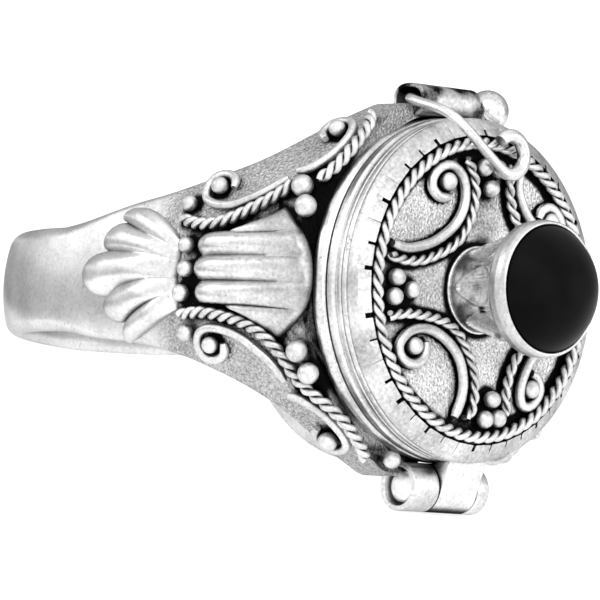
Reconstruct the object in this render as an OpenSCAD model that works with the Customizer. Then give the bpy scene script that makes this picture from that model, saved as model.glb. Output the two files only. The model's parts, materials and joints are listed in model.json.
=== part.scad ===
// Silver locket ring with a black onyx cabochon, hinged lid and wire latch.
// The ring is drawn upright first: X is the head axis, Z the finger axis, and the front shoulder
// is on -Y. lie_down() then lays it on its side, on the hinge barrel and the back of the band.

/* [Band] */
// Radius of the finger hole
finger_r = 8.8; // [8:0.1:10]
// Thickness of the band
band_t = 1.2; // [1:0.1:1.6]
// Width of the band at the back
band_w = 5.4; // [4.4:0.1:5.4]

/* [Locket] */
// Outer radius of the locket box
box_r = 8.4; // [8.2:0.05:8.5]
// Height of the box rim above the finger centre, where the lid parts from it
parting_h = 17.9; // [17.6:0.1:18.4]
// Height of the lid from the parting line to its ground
lid_h = 2; // [1.8:0.05:2.2]
// Radius of the rope ring on the lid
rope_ring_r = 7.18; // [7:0.02:7.2]

/* [Stone] */
// Radius of the onyx at the bezel's lip
stone_r = 3.05; // [2.8:0.05:3.1]
// Height of the bezel's lip above the finger centre
lip_h = 24.9; // [24.4:0.1:25.8]
// Height of the onyx dome above the lip
dome_h = 1.85; // [1:0.05:2]

/* [Hinge and latch] */
// Outer radius of the hinge barrel
knuckle_r = 1.2; // [1.1:0.02:1.22]
// Radius of the hinge pin
pin_r = 0.8; // [0.5:0.02:0.86]
// Radius of the latch wire
latch_wire_r = 0.25; // [0.22:0.01:0.28]
// Radius of the ball on the latch wire's end
latch_ball_r = 0.95; // [0.8:0.05:1]

/* [Ornament] */
// Radius of the shoulders' twisted wires, over the twist
rope_r = 0.31; // [0.26:0.01:0.32]
// Radius of the lid's twisted wires, over the twist
lid_rope_r = 0.26; // [0.2:0.01:0.27]
// Radius of the shoulders' plain scroll wires
scroll_r = 0.22; // [0.18:0.01:0.23]
// Radius of the lid's plain scroll wires
lid_scroll_r = 0.25; // [0.2:0.01:0.26]
// Radius of the lid's granules
granule_r = 0.4; // [0.3:0.01:0.41]
// Number of teeth in the lid's rim
teeth = 42; // [36:2:48]

/* [Hidden] */
$fn = 96;

gap = 0.05;
far = 30;
silver = [0.82, 0.82, 0.8];
bright_silver = [0.9, 0.9, 0.88];
onyx = [0.04, 0.04, 0.05];

// Band and shoulder sheets
band_r = finger_r + band_t;
band_dome_r = 8;
sheet_r = band_r + 0.04;
sheet_t = 1;
bend_h = 10;
lean = 9.3;
back_limit = 7.6;
hinge_side_y = [2.85, 4.4];
latch_side_y = 3.4;
// Edges of a shoulder seen from the side: [head height, finger height]
UPPER_EDGE = [
    [0, 2.7], [1.5, 3.1], [3, 3.5], [5, 3.95], [7, 4.35], [9, 4.85], [10.5, 5.3],
    [12, 5.85], [13.2, 6.5], [14.2, 7.25], [15, 8], [15.7, 8.7], [16.3, 9.4]
];
LOWER_EDGE = [
    [0, -2.7], [2.5, -2.7], [5, -2.9], [7, -3.25], [9, -3.7], [10.5, -4.2],
    [12, -4.85], [13.2, -5.55], [14.2, -6.3], [14.9, -7.2], [15.3, -8.2], [15.7, -9.4]
];
TOP_EDGE = [[17.6, 9.4], [17.6, 5.4], [16.95, 3.6], [16.95, -3.6], [17.35, -5.4], [17.35, -9.4]];

// Locket box
box_wall = 0.9;
box_bottom = band_r + 0.15;
box_floor = 1;
box_chamfer = 1.8;
cavity_r = box_r - box_wall;
cavity_chamfer = 1.3;
box_rim_r = box_r + 0.1;
box_rim_h = 0.85;

// Hinge
hinge_x = 17.5;
hinge_z = -9.7;
hinge_half = 2.6;
lid_knuckle_y = [-0.8, 1.75];
pin_bore_r = pin_r + 0.05;
knuckle_gap = 0.06;

// Latch tube, an oval strip of sheet rolled round
tube_x = 17.1;
tube_z = 9.35;
tube_y = [-2.45, 1.6];
tube_a = 1.1;
tube_b = 0.75;
tube_t = 0.27;

// Lid
lid_bottom = parting_h + 0.08;
lid_top = parting_h + lid_h;
lid_wall_r = box_r + 0.07;
lid_inner_r = 7.6;
lid_plate_t = 0.7;
bead_h = 0.5;
groove_h = 0.18;
groove_r = lid_wall_r - 0.14;
lid_edge_h = 19.3;
ground_r = 7.6;
rope_ring_wire_r = 0.3;
teeth_inner_r = 7.55;
teeth_outer_r = lid_wall_r - 0.02;
teeth_t = 0.24;
slot_w = 0.17;

// Quarters of the lid's ornament, all drawn in the first quarter: [across, finger height]
ROPE_A = [
    [6.4, 1.3], [5.8, 1.15], [5, 1.1], [4.1, 1.2], [3.2, 1.5], [2.4, 1.85], [1.7, 2.3], [1.2, 2.9],
    [0.85, 3.6], [0.65, 4.4], [0.65, 5.1], [0.9, 5.8], [1.3, 6.3]
];
SCROLL_A = [
    [6.2, 1.85], [5.3, 1.7], [4.5, 1.8], [3.6, 2.05], [2.8, 2.45], [2.1, 2.95], [1.6, 3.55], [1.35, 4.2],
    [1.35, 4.9], [1.6, 5.5], [2.2, 5.9], [2.8, 5.9], [3.35, 5.6], [3.65, 5.15], [3.6, 4.7], [3.1, 4.35], [2.4, 4.35]
];
EYE_A = [2.65, 5.12];
ROPE_B = [
    [6.3, 0.75], [5.9, 0.35], [5.2, 0.2], [4.5, 0.2], [3.9, 0.35], [3.3, 0.65], [2.8, 1], [2.2, 1.5],
    [1.8, 2.2], [1.6, 3], [1.5, 3.9], [1.45, 4.7], [1.5, 5.4], [1.65, 6.2]
];
SCROLL_B = [
    [6.3, 1.55], [5.5, 1.15], [4.8, 1], [4.2, 1.05], [3.6, 1.25], [3, 1.7], [2.5, 2.4], [2.2, 3.1], [2.1, 3.8],
    [2.2, 4.5], [2.5, 5.1], [3, 5.5], [3.5, 5.4], [3.8, 4.95], [3.85, 4.4], [3.6, 3.9], [3.1, 3.65], [2.75, 3.7]
];
EYE_B = [3, 4.55];
ROPE_C = [
    [6.2, 1.9], [5.3, 1.75], [4.4, 1.9], [3.6, 2.3], [2.9, 2.9], [2.4, 3.6], [2.1, 4.4], [2, 5.2], [2.15, 6]
];
SCROLL_C = [
    [6, 2.5], [5.2, 2.4], [4.4, 2.7], [3.7, 3.25], [3.2, 4.1], [3, 4.9], [3.2, 5.45], [3.7, 5.5], [4.2, 5.1],
    [4.4, 4.6], [4.2, 4.1], [3.8, 3.9]
];
EYE_C = [3.7, 4.65];
// Granules between the quarters: [across, finger height]
LID_GRANULES = [
    [5.93, 0.24], [4.85, -0.3], [6.05, -0.7], [-0.95, -5.3], [-0.5, -6.3], [-1.4, -6.2],
    [0.15, 6], [-0.8, 6], [-0.35, 5], [-5.9, 0.5], [-5.9, -0.5], [-4.9, 0]
];

// Collar and bezel
collar_base_r = 2.05;
collar_top_r = 3;
collar_wall = 0.45;
bezel_r = stone_r + 0.3;
bezel_h = 1.15;
bezel_bottom = lip_h - bezel_h;
bezel_floor = 0.4;

// Resting pose: the band's back edge and the barrel stand on one plane
edge_x = band_r - band_dome_r + sqrt(band_dome_r * band_dome_r - band_w * band_w / 4);
rest_run = hinge_x + edge_x;
rest_rise = -hinge_z - band_w / 2;
lie_angle = atan2(rest_rise, rest_run) + asin(knuckle_r / norm([rest_run, rest_rise]));

// Shoulder wires on the unrolled sheet: [distance up from the bend, distance round]
ROPE_TOP_1 = [[-2.3, 2.95], [-1.2, 2.7], [-0.1, 2.7], [1, 3], [1.9, 3.4], [2.8, 3.85], [3.5, 4.3], [3.9, 4.7]];
ROPE_TOP_2 = [[5.5, 4.95], [5.95, 5.35], [6.3, 5.9], [6.6, 6.7], [6.75, 7.5], [6.7, 8.5], [6.3, 9.3]];
ROPE_LOW = [
    [-2, -1.7], [-1.2, -1.6], [-0.2, -1.6], [0.7, -1.75], [1.6, -1.95], [2.5, -2.3], [3.2, -2.75], [3.7, -3.25],
    [4.1, -3.8], [4.4, -4.4], [4.75, -5], [5.3, -5.6], [5.85, -6.15], [6.3, -6.7], [6.6, -7.3], [6.75, -8],
    [6.75, -8.9], [6.55, -9.6]
];
SCROLL_1 = [
    [3.55, 5.1], [3.1, 4.75], [2.6, 4.45], [2.05, 4.15], [1.5, 3.95], [0.8, 3.7], [0.1, 3.65], [-0.55, 3.75],
    [-1.1, 4.05], [-1.25, 4.6], [-1.05, 5.1], [-0.55, 5.35], [0, 5.3], [0.35, 5], [0.4, 4.6]
];
SCROLL_2 = [
    [3.9, 5.5], [4.5, 5.6], [5, 5.9], [5.5, 6.4], [5.85, 7.1], [5.95, 7.8], [5.75, 8.4], [5.35, 8.8], [4.8, 8.85],
    [4.35, 8.6], [4.2, 7.95], [4.6, 7.5]
];
SCROLL_3 = [
    [3.8, -5], [3.5, -4.4], [3.1, -3.9], [2.5, -3.4], [1.9, -2.95], [1.3, -2.65], [0.7, -2.45], [0.1, -2.35],
    [-0.5, -2.4], [-0.95, -2.75], [-1, -3.35], [-0.6, -3.85], [0, -3.9], [0.5, -3.6], [0.55, -3.1]
];
SCROLL_4 = [
    [3.8, -5.75], [4.4, -5.95], [4.9, -6.3], [5.4, -6.75], [5.8, -7.4], [6, -8.1], [5.9, -8.7], [5.45, -9.1],
    [4.85, -9.1], [4.4, -8.7], [4.35, -8.1], [4.7, -7.65]
];
// Shoulder granules: [distance up, distance round, radius]
SHOULDER_GRANULES = [
    [-0.4, 4.65, 0.4], [5, 8.15, 0.4], [-0.2, -3.15, 0.38], [5.05, -8.35, 0.45],
    [4.75, 4.5, 0.5], [5.3, 3.45, 0.5], [5.1, -3.4, 0.5], [5.5, -4.5, 0.48],
    [-1.75, 1.65, 0.38], [-1.65, 0.5, 0.38], [-1.9, -0.65, 0.4], [-2.15, 3.75, 0.38], [-1.75, -2.55, 0.38]
];

// Shell of five lobes that fan out from one root: the length and crown of each, from the lowest up
shell_root = [-2.3, 0.45];
shell_first_a = -51;
lobe_spread = 20;
LOBES = [[4.75, 0.75], [5.5, 0.85], [7.1, 0.95], [5.9, 0.85], [5, 0.75]];
lobe_steps = 6;

// Flutes of the barrel: [its two sides at the root, at the rim, start, end at each side, crown]
FLUTES = [
    [-1.4, -1.1, -2.4, -1.3, 0.9, 4.1, 5.6, 0.75],
    [-1.2, -0.05, -1.3, -0.1, -1, 5.6, 5.8, 0.9],
    [-0.05, 1.1, -0.1, 1.1, -1.1, 5.8, 5.8, 0.95],
    [1.1, 2.2, 1.1, 2.3, -1, 5.8, 5.6, 0.9],
    [2, 2.3, 2.3, 3.6, 0.8, 5.6, 3.9, 0.75]
];
flute_steps = 5;

// Latch wire past the tube, as [head height, across, finger height] points, then its curl
WIRE_RISE = [
    [17.1, -2.2, 9.35], [17.1, -2.7, 9.35], [17.25, -2.98, 9.32], [17.7, -3.08, 9.2], [18.6, -3.08, 8.98],
    [19.5, -3.04, 8.75], [20.3, -2.98, 8.45], [20.8, -2.75, 8.1], [21.05, -2.15, 7.6], [21.1, -1, 6.73]
];
curl_c = [0.75, 6.65];
curl_r = 0.95;
curl_h = 21.1;
ball_y = 3.35;
ball_drop = 0.3;

function polar(r, a) = [r * cos(a), r * sin(a)];
function unit(v) = v / norm(v);
function mix(a, b, t) = a + (b - a) * t;

// Smooth curve through points, with steps short pieces between two of them
function smooth(points, steps) =
    let (n = len(points))
    concat([points[0]], [
        for (i = [0 : n - 2]) for (k = [1 : steps])
            let (
                a = i > 0 ? points[i - 1] : 2 * points[0] - points[1],
                b = points[i],
                c = points[i + 1],
                d = i < n - 2 ? points[i + 2] : 2 * points[n - 1] - points[n - 2],
                t = k / steps
            )
            (2 * b + t * (c - a) + t * t * (2 * a - 5 * b + 4 * c - d) + t * t * t * (3 * b - a - 3 * c + d)) / 2
    ]);

// A point of the front shoulder's unrolled sheet, raised by lift. Past the bend the sheet leans inwards
function on_sheet(p, lift) =
    let (
        a = p[1] / sheet_r * 180 / PI,
        w = (sheet_r + lift) * cos(a),
        z = (sheet_r + lift) * sin(a),
        b = w * tan(lean / 2)
    )
    p[0] > -b
        ? [bend_h + p[0] * cos(lean) + w * sin(lean), p[0] * sin(lean) - w * cos(lean), z]
        : [bend_h + p[0] + 2 * b, -w, z];

// Round wire swept along points; up is the surface normal at each of them
module swept_wire(points, ups, r, sides = 8) {
    n = len(points);
    rings = [
        for (i = [0 : n - 1])
            let (
                t = unit(points[min(i + 1, n - 1)] - points[max(i - 1, 0)]),
                s = unit(cross(t, ups[i])),
                u = cross(s, t)
            )
            for (k = [0 : sides - 1]) points[i] + r * (cos(360 * k / sides) * s + sin(360 * k / sides) * u)
    ];
    walls = [
        for (i = [0 : n - 2]) for (k = [0 : sides - 1])
            let (a = i * sides + k, b = i * sides + (k + 1) % sides)
            [a, b, b + sides, a + sides]
    ];
    first = [for (k = [0 : sides - 1]) sides - 1 - k];
    last = [for (k = [0 : sides - 1]) (n - 1) * sides + k];
    polyhedron(concat(rings), concat([first], walls, [last]), convexity = 6);
}

// Wire on the front shoulder, given as points of the unrolled sheet
module shoulder_wire(points, r) {
    lifted = [for (p = points) on_sheet(p, r + gap)];
    swept_wire(lifted, [for (p = lifted) unit([0, p[1], p[2]])], r, 6);
}

// Wire lying on the lid's ground, given as [across, finger height] points
module lid_wire(points, r) {
    level = lid_top + gap + r;
    swept_wire([for (p = points) [level, -p[0], p[1]]], [for (p = points) [1, 0, 0]], r, 6);
}

module lie_down() {
    rotate([0, -lie_angle, 0]) children();
}

module back_shoulder() {
    mirror([0, 1, 0]) children();
}

// Frame whose X follows the leaning part of the front shoulder
module leaning() {
    translate([bend_h, 0, 0]) rotate([0, 0, lean]) children();
}

// Half space above or below the plane where the sheet bends
module past_bend() {
    translate([bend_h, 0, 0]) rotate([0, 0, lean / 2]) translate([0, -far, -far]) cube([far, 2 * far, 2 * far]);
}

module tube_along_x(r, wall, from, to) {
    translate([from, 0, 0]) rotate([0, 90, 0]) difference() {
        cylinder(r = r, h = to - from);
        translate([0, 0, -1]) cylinder(r = r - wall, h = to - from + 2);
    }
}

module drum(r, from, to) {
    translate([from, 0, 0]) rotate([0, 90, 0]) cylinder(r = r, h = to - from);
}

module across(r, x, z, from, to) {
    translate([x, from, z]) rotate([-90, 0, 0]) cylinder(r = r, h = to - from);
}

module band() {
    rotate_extrude() intersection() {
        translate([finger_r, -band_w / 2]) square([band_t + 1, band_w]);
        translate([band_r - band_dome_r, 0]) circle(r = band_dome_r, $fn = 160);
    }
}

// Outline of the flared sheet seen from the side, as a prism over the front shoulder
module sheet_outline() {
    lower = [for (i = [len(LOWER_EDGE) - 1 : -1 : 0]) LOWER_EDGE[i]];
    rotate([90, 0, 0]) linear_extrude(far) polygon(concat(UPPER_EDGE, TOP_EDGE, lower));
}

module front_sheet(hinge_cut) {
    difference() {
        intersection() {
            union() {
                difference() {
                    tube_along_x(sheet_r, sheet_t, 0, bend_h + 4);
                    past_bend();
                }
                intersection() {
                    leaning() tube_along_x(sheet_r, sheet_t, -4, 14);
                    past_bend();
                }
            }
            sheet_outline();
        }
        drum(box_r + gap, box_bottom - 0.1, far);
        drum(box_rim_r + gap, parting_h - box_rim_h - gap, far);
        translate([bend_h, -hinge_cut, -far]) cube([far, 2 * hinge_cut, far]);
        translate([bend_h, -latch_side_y, 0]) cube([far, 2 * latch_side_y, far]);
    }
}

module back_sheet() {
    difference() {
        intersection() {
            back_shoulder() front_sheet(hinge_side_y[1]);
            translate([-1, 0, -back_limit]) cube([far, far, 2 * back_limit]);
        }
        across(latch_ball_r + 0.8, tube_x, tube_z, latch_side_y - 1, tube_y[1] + 2 * latch_ball_r + 0.9);
    }
}

module shank() {
    color(silver) difference() {
        union() {
            band();
            front_sheet(hinge_side_y[0]);
            back_sheet();
        }
        translate([0, 0, -far]) cylinder(r = finger_r, h = 2 * far);
    }
}

// Knuckle of the box with the web that joins it to the wall
module box_knuckle(from, to) {
    across(knuckle_r, hinge_x, hinge_z, from, to);
    translate([hinge_x - 1.2, from, hinge_z + 0.6]) cube([0.95, to - from, 1.75]);
}

module oval(a, b) {
    polygon([for (i = [0 : 35]) [a * cos(10 * i), b * sin(10 * i)]]);
}

module latch_tube() {
    length = tube_y[1] - tube_y[0];
    translate([tube_x, tube_y[1], tube_z]) rotate([90, 0, 0]) linear_extrude(length) oval(tube_a, tube_b);
    translate([tube_x - 1.3, tube_y[0] + 0.15, 8]) cube([1.2, length - 0.3, 0.85]);
}

module locket_box() {
    color(silver) difference() {
        union() {
            rotate([0, 90, 0]) rotate_extrude() polygon([
                [0, box_bottom], [box_r - box_chamfer, box_bottom], [box_r, box_bottom + box_chamfer],
                [box_r, parting_h - box_rim_h], [box_rim_r, parting_h - box_rim_h + 0.1],
                [box_rim_r, parting_h], [0, parting_h]
            ]);
            box_knuckle(-hinge_half, lid_knuckle_y[0] - knuckle_gap);
            box_knuckle(lid_knuckle_y[1] + knuckle_gap, hinge_half);
            latch_tube();
        }
        rotate([0, 90, 0]) rotate_extrude() polygon([
            [0, box_bottom + box_floor], [cavity_r - cavity_chamfer, box_bottom + box_floor],
            [cavity_r, box_bottom + box_floor + cavity_chamfer], [cavity_r, far], [0, far]
        ]);
        across(pin_bore_r, hinge_x, hinge_z, -far, far);
        across(knuckle_r + 0.12, hinge_x, hinge_z, lid_knuckle_y[0] - knuckle_gap, lid_knuckle_y[1] + knuckle_gap);
        translate([tube_x, far, tube_z]) rotate([90, 0, 0])
            linear_extrude(2 * far) oval(tube_a - tube_t, tube_b - tube_t);
    }
}

module hinge_pin() {
    color(bright_silver) across(pin_r, hinge_x, hinge_z, -hinge_half + 0.25, hinge_half - 0.25);
}

// Closed relief between two grids, each a list of columns of six points
module relief(top, bottom) {
    m = len(top);
    low = 6 * m;
    caps = [for (j = [0 : m - 2]) for (i = [0 : 4]) each [
        [6 * j + i, 6 * j + 6 + i, 6 * j + 7 + i], [6 * j + i, 6 * j + 7 + i, 6 * j + 1 + i],
        [low + 6 * j + i, low + 6 * j + 7 + i, low + 6 * j + 6 + i],
        [low + 6 * j + i, low + 6 * j + 1 + i, low + 6 * j + 7 + i]
    ]];
    ends = [for (j = [0 : m - 2]) each [
        [6 * j, low + 6 * j, low + 6 * j + 6, 6 * j + 6],
        [6 * j + 5, 6 * j + 11, low + 6 * j + 11, low + 6 * j + 5]
    ]];
    sides = [for (i = [0 : 4]) each [
        [i, i + 1, low + i + 1, low + i],
        [6 * m - 6 + i, low + 6 * m - 6 + i, low + 6 * m - 5 + i, 6 * m - 5 + i]
    ]];
    points = [for (g = [top, bottom]) for (column = g) each column];
    polyhedron(points, concat(caps, ends, sides), convexity = 6);
}

// Points from the shell's root to its tip at angle a, t across a lobe from -1 to 1
function shell_column(lobe, a, t, under) =
    let (
        tip = lobe[0] * (1 - 0.2 * (1 - sqrt(1 - 0.96 * t * t))),
        side = sqrt(1 - 0.8 * t * t),
        stops = [[0.1, 0.35], [0.3, 0.55], [0.5, 0.75], [0.7, 0.92], [0.88, 1], [1, 0.3]]
    )
    [for (e = stops)
        let (d = max(0.3, tip * e[0]))
        on_sheet(shell_root + [-d * cos(a), d * sin(a)], under ? gap : gap + lobe[1] * side * e[1])];

module front_shell() {
    spots = [for (n = [0 : len(LOBES) - 1]) for (k = [n == 0 ? 0 : 1 : lobe_steps])
        [LOBES[n], shell_first_a + lobe_spread * (n + k / lobe_steps), 2 * k / lobe_steps - 1]];
    relief([for (c = spots) shell_column(c[0], c[1], c[2], false)],
        [for (c = spots) shell_column(c[0], c[1], c[2], true)]);
}

module shell_front() {
    color(bright_silver) front_shell();
}

module shell_back() {
    color(bright_silver) back_shoulder() front_shell();
}

// Points along the barrel from its root to the rim, t across a flute from -1 to 1
function flute_column(f, t, under) =
    let (
        s = (t + 1) / 2,
        root = mix(f[0], f[1], s),
        rim = mix(f[2], f[3], s),
        start = f[4] + 0.25 * t * t,
        end = mix(f[5], f[6], s),
        side = sqrt(1 - 0.75 * t * t),
        stops = [[0, 0.3], [0.05, 0.75], [0.2, 1], [0.55, 1], [0.85, 0.7], [1, 0.25]]
    )
    [for (e = stops)
        on_sheet([mix(start, end, e[0]), mix(root, rim, e[0])], under ? gap : gap + f[7] * side * e[1])];

module front_barrel() {
    spots = [for (n = [0 : len(FLUTES) - 1]) for (k = [n == 0 ? 0 : 1 : flute_steps])
        [FLUTES[n], 2 * k / flute_steps - 1]];
    relief(
        [for (i = [len(spots) - 1 : -1 : 0]) flute_column(spots[i][0], spots[i][1], false)],
        [for (i = [len(spots) - 1 : -1 : 0]) flute_column(spots[i][0], spots[i][1], true)]);
}

module fluted_barrel_front() {
    color(bright_silver) front_barrel();
}

module fluted_barrel_back() {
    color(bright_silver) back_shoulder() front_barrel();
}

// On the back shoulder the ropes end before the rim's corners
module front_ropes(short) {
    shoulder_wire(smooth(ROPE_TOP_1, 2), rope_r);
    shoulder_wire(smooth([for (i = [0 : len(ROPE_TOP_2) - 1 - short]) ROPE_TOP_2[i]], 2), rope_r);
    shoulder_wire([for (i = [0 : len(ROPE_LOW) - 1 - short]) ROPE_LOW[i]], rope_r);
}

module shoulder_ropes_front() {
    color(silver) front_ropes(0);
}

module shoulder_ropes_back() {
    color(silver) back_shoulder() front_ropes(3);
}

module front_scrolls() {
    for (wire = [SCROLL_1, SCROLL_2, SCROLL_3, SCROLL_4]) shoulder_wire(wire, scroll_r);
}

module shoulder_scrolls_front() {
    color(silver) front_scrolls();
}

module shoulder_scrolls_back() {
    color(silver) back_shoulder() front_scrolls();
}

module ball(p, r) {
    translate(p) sphere(r = r, $fn = 32);
}

module front_granules() {
    for (g = SHOULDER_GRANULES) ball(on_sheet(g, g[2] + gap), g[2]);
}

module shoulder_granules_front() {
    color(bright_silver) {
        front_granules();
        ball([parting_h - 0.05, -3.4, -8.45], 0.44);
    }
}

module shoulder_granules_back() {
    color(bright_silver) back_shoulder() front_granules();
}

// Strap from the lid's edge down to its knuckle, with the knuckle
module lid_strap() {
    root = [lid_edge_h, -lid_wall_r + 0.2];
    axle = [hinge_x, hinge_z];
    reach = norm(root - axle);
    tangent_a = atan2(root[1] - axle[1], root[0] - axle[0]) - acos(knuckle_r / reach);
    translate([0, lid_knuckle_y[1], 0]) rotate([90, 0, 0]) linear_extrude(lid_knuckle_y[1] - lid_knuckle_y[0])
        polygon([
            root, axle + polar(knuckle_r * 0.999, tangent_a), axle, [lid_bottom + 0.12, -8.95],
            [lid_bottom + 0.12, -8.1], [lid_edge_h - 0.2, -8.1]
        ]);
    across(knuckle_r, hinge_x, hinge_z, lid_knuckle_y[0], lid_knuckle_y[1]);
}

module lid() {
    color(silver) difference() {
        union() {
            rotate([0, 90, 0]) rotate_extrude() polygon([
                [0, lid_top - lid_plate_t], [lid_inner_r, lid_top - lid_plate_t], [lid_inner_r, lid_bottom],
                [lid_wall_r, lid_bottom], [lid_wall_r, lid_bottom + bead_h],
                [groove_r, lid_bottom + bead_h + 0.06], [groove_r, lid_bottom + bead_h + groove_h],
                [lid_wall_r - 0.03, lid_bottom + bead_h + groove_h + 0.06], [lid_wall_r - 0.03, lid_edge_h],
                [ground_r, lid_top - 0.05], [ground_r - 0.1, lid_top], [0, lid_top]
            ]);
            lid_strap();
        }
        across(pin_bore_r, hinge_x, hinge_z, -far, far);
    }
}

module toothed_rim() {
    color(silver) difference() {
        rotate([0, 90, 0]) rotate_extrude() polygon([
            [teeth_inner_r, lid_top + gap], [teeth_outer_r, lid_edge_h + gap + 0.03],
            [teeth_outer_r, lid_edge_h + gap + teeth_t], [teeth_inner_r + 0.1, lid_top + gap + teeth_t],
            [teeth_inner_r, lid_top + gap + teeth_t - 0.05]
        ]);
        for (i = [0 : teeth - 1])
            rotate([360 * (i + 0.5) / teeth, 0, 0])
                translate([lid_edge_h + gap + 0.16, -slot_w / 2, teeth_outer_r - 0.38]) cube([1, slot_w, 2]);
    }
}

module rope_ring() {
    color(silver) translate([lid_top + gap + rope_ring_wire_r, 0, 0]) rotate([0, 90, 0])
        rotate_extrude() translate([rope_ring_r, 0]) circle(r = rope_ring_wire_r, $fn = 32);
}

// The four quarters of the lid's ornament, each turned to its place
module quarter(q) {
    rotate([90 * q, 0, 0]) children();
}

module lid_scroll_ropes() {
    color(silver) {
        quarter(0) lid_wire(ROPE_A, lid_rope_r);
        quarter(1) lid_wire(ROPE_B, lid_rope_r);
        for (q = [2, 3]) quarter(q) lid_wire(smooth(ROPE_C, 2), lid_rope_r);
    }
}

module lid_scrolls() {
    color(silver) {
        quarter(0) lid_wire(SCROLL_A, lid_scroll_r);
        quarter(1) lid_wire(SCROLL_B, lid_scroll_r);
        for (q = [2, 3]) quarter(q) lid_wire(SCROLL_C, lid_scroll_r);
    }
}

module lid_granule(p) {
    ball([lid_top + gap + granule_r, -p[0], p[1]], granule_r);
}

module lid_granules() {
    color(bright_silver) {
        for (p = LID_GRANULES) lid_granule(p);
        quarter(0) lid_granule(EYE_A);
        quarter(1) lid_granule(EYE_B);
        for (q = [2, 3]) quarter(q) lid_granule(EYE_C);
    }
}

module collar() {
    color(silver) rotate([0, 90, 0]) rotate_extrude() polygon([
        [collar_base_r - collar_wall, lid_top + gap], [collar_base_r, lid_top + gap],
        [collar_top_r, bezel_bottom - gap], [collar_top_r - collar_wall, bezel_bottom - gap]
    ]);
}

module bezel() {
    color(bright_silver) rotate([0, 90, 0]) rotate_extrude() polygon([
        [0, bezel_bottom], [bezel_r, bezel_bottom], [bezel_r, lip_h - 0.25], [bezel_r - 0.06, lip_h],
        [stone_r + gap, lip_h], [stone_r + gap, bezel_bottom + bezel_floor], [0, bezel_bottom + bezel_floor]
    ]);
}

module onyx_stone() {
    cap_r = (stone_r * stone_r + dome_h * dome_h) / (2 * dome_h);
    color(onyx) rotate([0, 90, 0]) rotate_extrude() intersection() {
        translate([0, lip_h + dome_h - cap_r]) circle(r = cap_r, $fn = 160);
        translate([0, bezel_bottom + bezel_floor + gap]) square([stone_r, far]);
    }
}

module latch_wire() {
    curl = [
        for (i = [0 : 14])
            let (p = curl_c + polar(curl_r, -127 + 265 * i / 14))
            [curl_h, p[0], p[1]]
    ];
    route = concat(WIRE_RISE, curl);
    ups = [for (i = [0 : len(route) - 1]) i < 3 ? [1, 0, 0] : i < 7 ? [0, -1, 0] : [1, 0, 0]];
    color(bright_silver) {
        across(latch_wire_r, tube_x, tube_z, tube_y[0], ball_y - 0.2);
        swept_wire(route, ups, latch_wire_r - 0.012, 8);
    }
}

module latch_ball() {
    color(bright_silver) difference() {
        ball([tube_x + 0.2, ball_y, tube_z - ball_drop], latch_ball_r);
        across(latch_wire_r + 0.04, tube_x, tube_z, 0, ball_y - 0.15);
    }
}

lie_down() shank();
lie_down() locket_box();
lie_down() hinge_pin();
lie_down() shell_front();
lie_down() shell_back();
lie_down() fluted_barrel_front();
lie_down() fluted_barrel_back();
lie_down() shoulder_ropes_front();
lie_down() shoulder_ropes_back();
lie_down() shoulder_scrolls_front();
lie_down() shoulder_scrolls_back();
lie_down() shoulder_granules_front();
lie_down() shoulder_granules_back();
lie_down() lid();
lie_down() toothed_rim();
lie_down() rope_ring();
lie_down() lid_scroll_ropes();
lie_down() lid_scrolls();
lie_down() lid_granules();
lie_down() collar();
lie_down() bezel();
lie_down() onyx_stone();
lie_down() latch_wire();
lie_down() latch_ball();
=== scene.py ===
import json
import math

import bmesh
import bpy
from mathutils import Matrix, Vector
from mathutils.kdtree import KDTree


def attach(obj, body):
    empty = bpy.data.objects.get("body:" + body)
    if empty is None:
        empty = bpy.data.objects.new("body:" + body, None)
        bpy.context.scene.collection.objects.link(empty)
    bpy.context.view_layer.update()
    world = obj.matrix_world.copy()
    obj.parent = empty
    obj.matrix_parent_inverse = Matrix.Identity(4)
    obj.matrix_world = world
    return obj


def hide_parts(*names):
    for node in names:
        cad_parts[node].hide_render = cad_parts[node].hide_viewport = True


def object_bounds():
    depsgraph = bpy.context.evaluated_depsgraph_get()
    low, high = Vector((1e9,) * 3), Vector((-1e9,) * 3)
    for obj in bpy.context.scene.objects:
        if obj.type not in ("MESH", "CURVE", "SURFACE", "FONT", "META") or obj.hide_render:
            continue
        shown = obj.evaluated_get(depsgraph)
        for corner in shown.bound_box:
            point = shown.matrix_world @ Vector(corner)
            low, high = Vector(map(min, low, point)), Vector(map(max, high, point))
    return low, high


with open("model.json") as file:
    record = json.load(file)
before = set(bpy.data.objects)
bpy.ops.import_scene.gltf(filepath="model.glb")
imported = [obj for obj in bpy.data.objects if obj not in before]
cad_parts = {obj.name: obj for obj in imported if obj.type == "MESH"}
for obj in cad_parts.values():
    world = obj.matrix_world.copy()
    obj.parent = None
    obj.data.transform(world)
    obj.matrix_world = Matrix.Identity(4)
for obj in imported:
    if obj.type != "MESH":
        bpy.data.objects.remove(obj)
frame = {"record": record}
cad_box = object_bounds()

# Table and view. The ring lies on its side on a white table that is lit through from below, with
# soft boxes round it and a grey card at its left, and is seen from its front shoulder, a little from
# above. Each piece is drawn in mm, along the head axis, across the shoulders and up the finger axis.
finger_axis = frame["record"]["mounts"][0]["axis"]
lie_cos, lie_sin = finger_axis[2], -finger_axis[0]
LAID = Matrix(((lie_cos, 0, -lie_sin), (0, 1, 0), (lie_sin, 0, lie_cos)))
MM = 0.001
HEAD_AXIS = LAID @ Vector((1, 0, 0))

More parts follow.
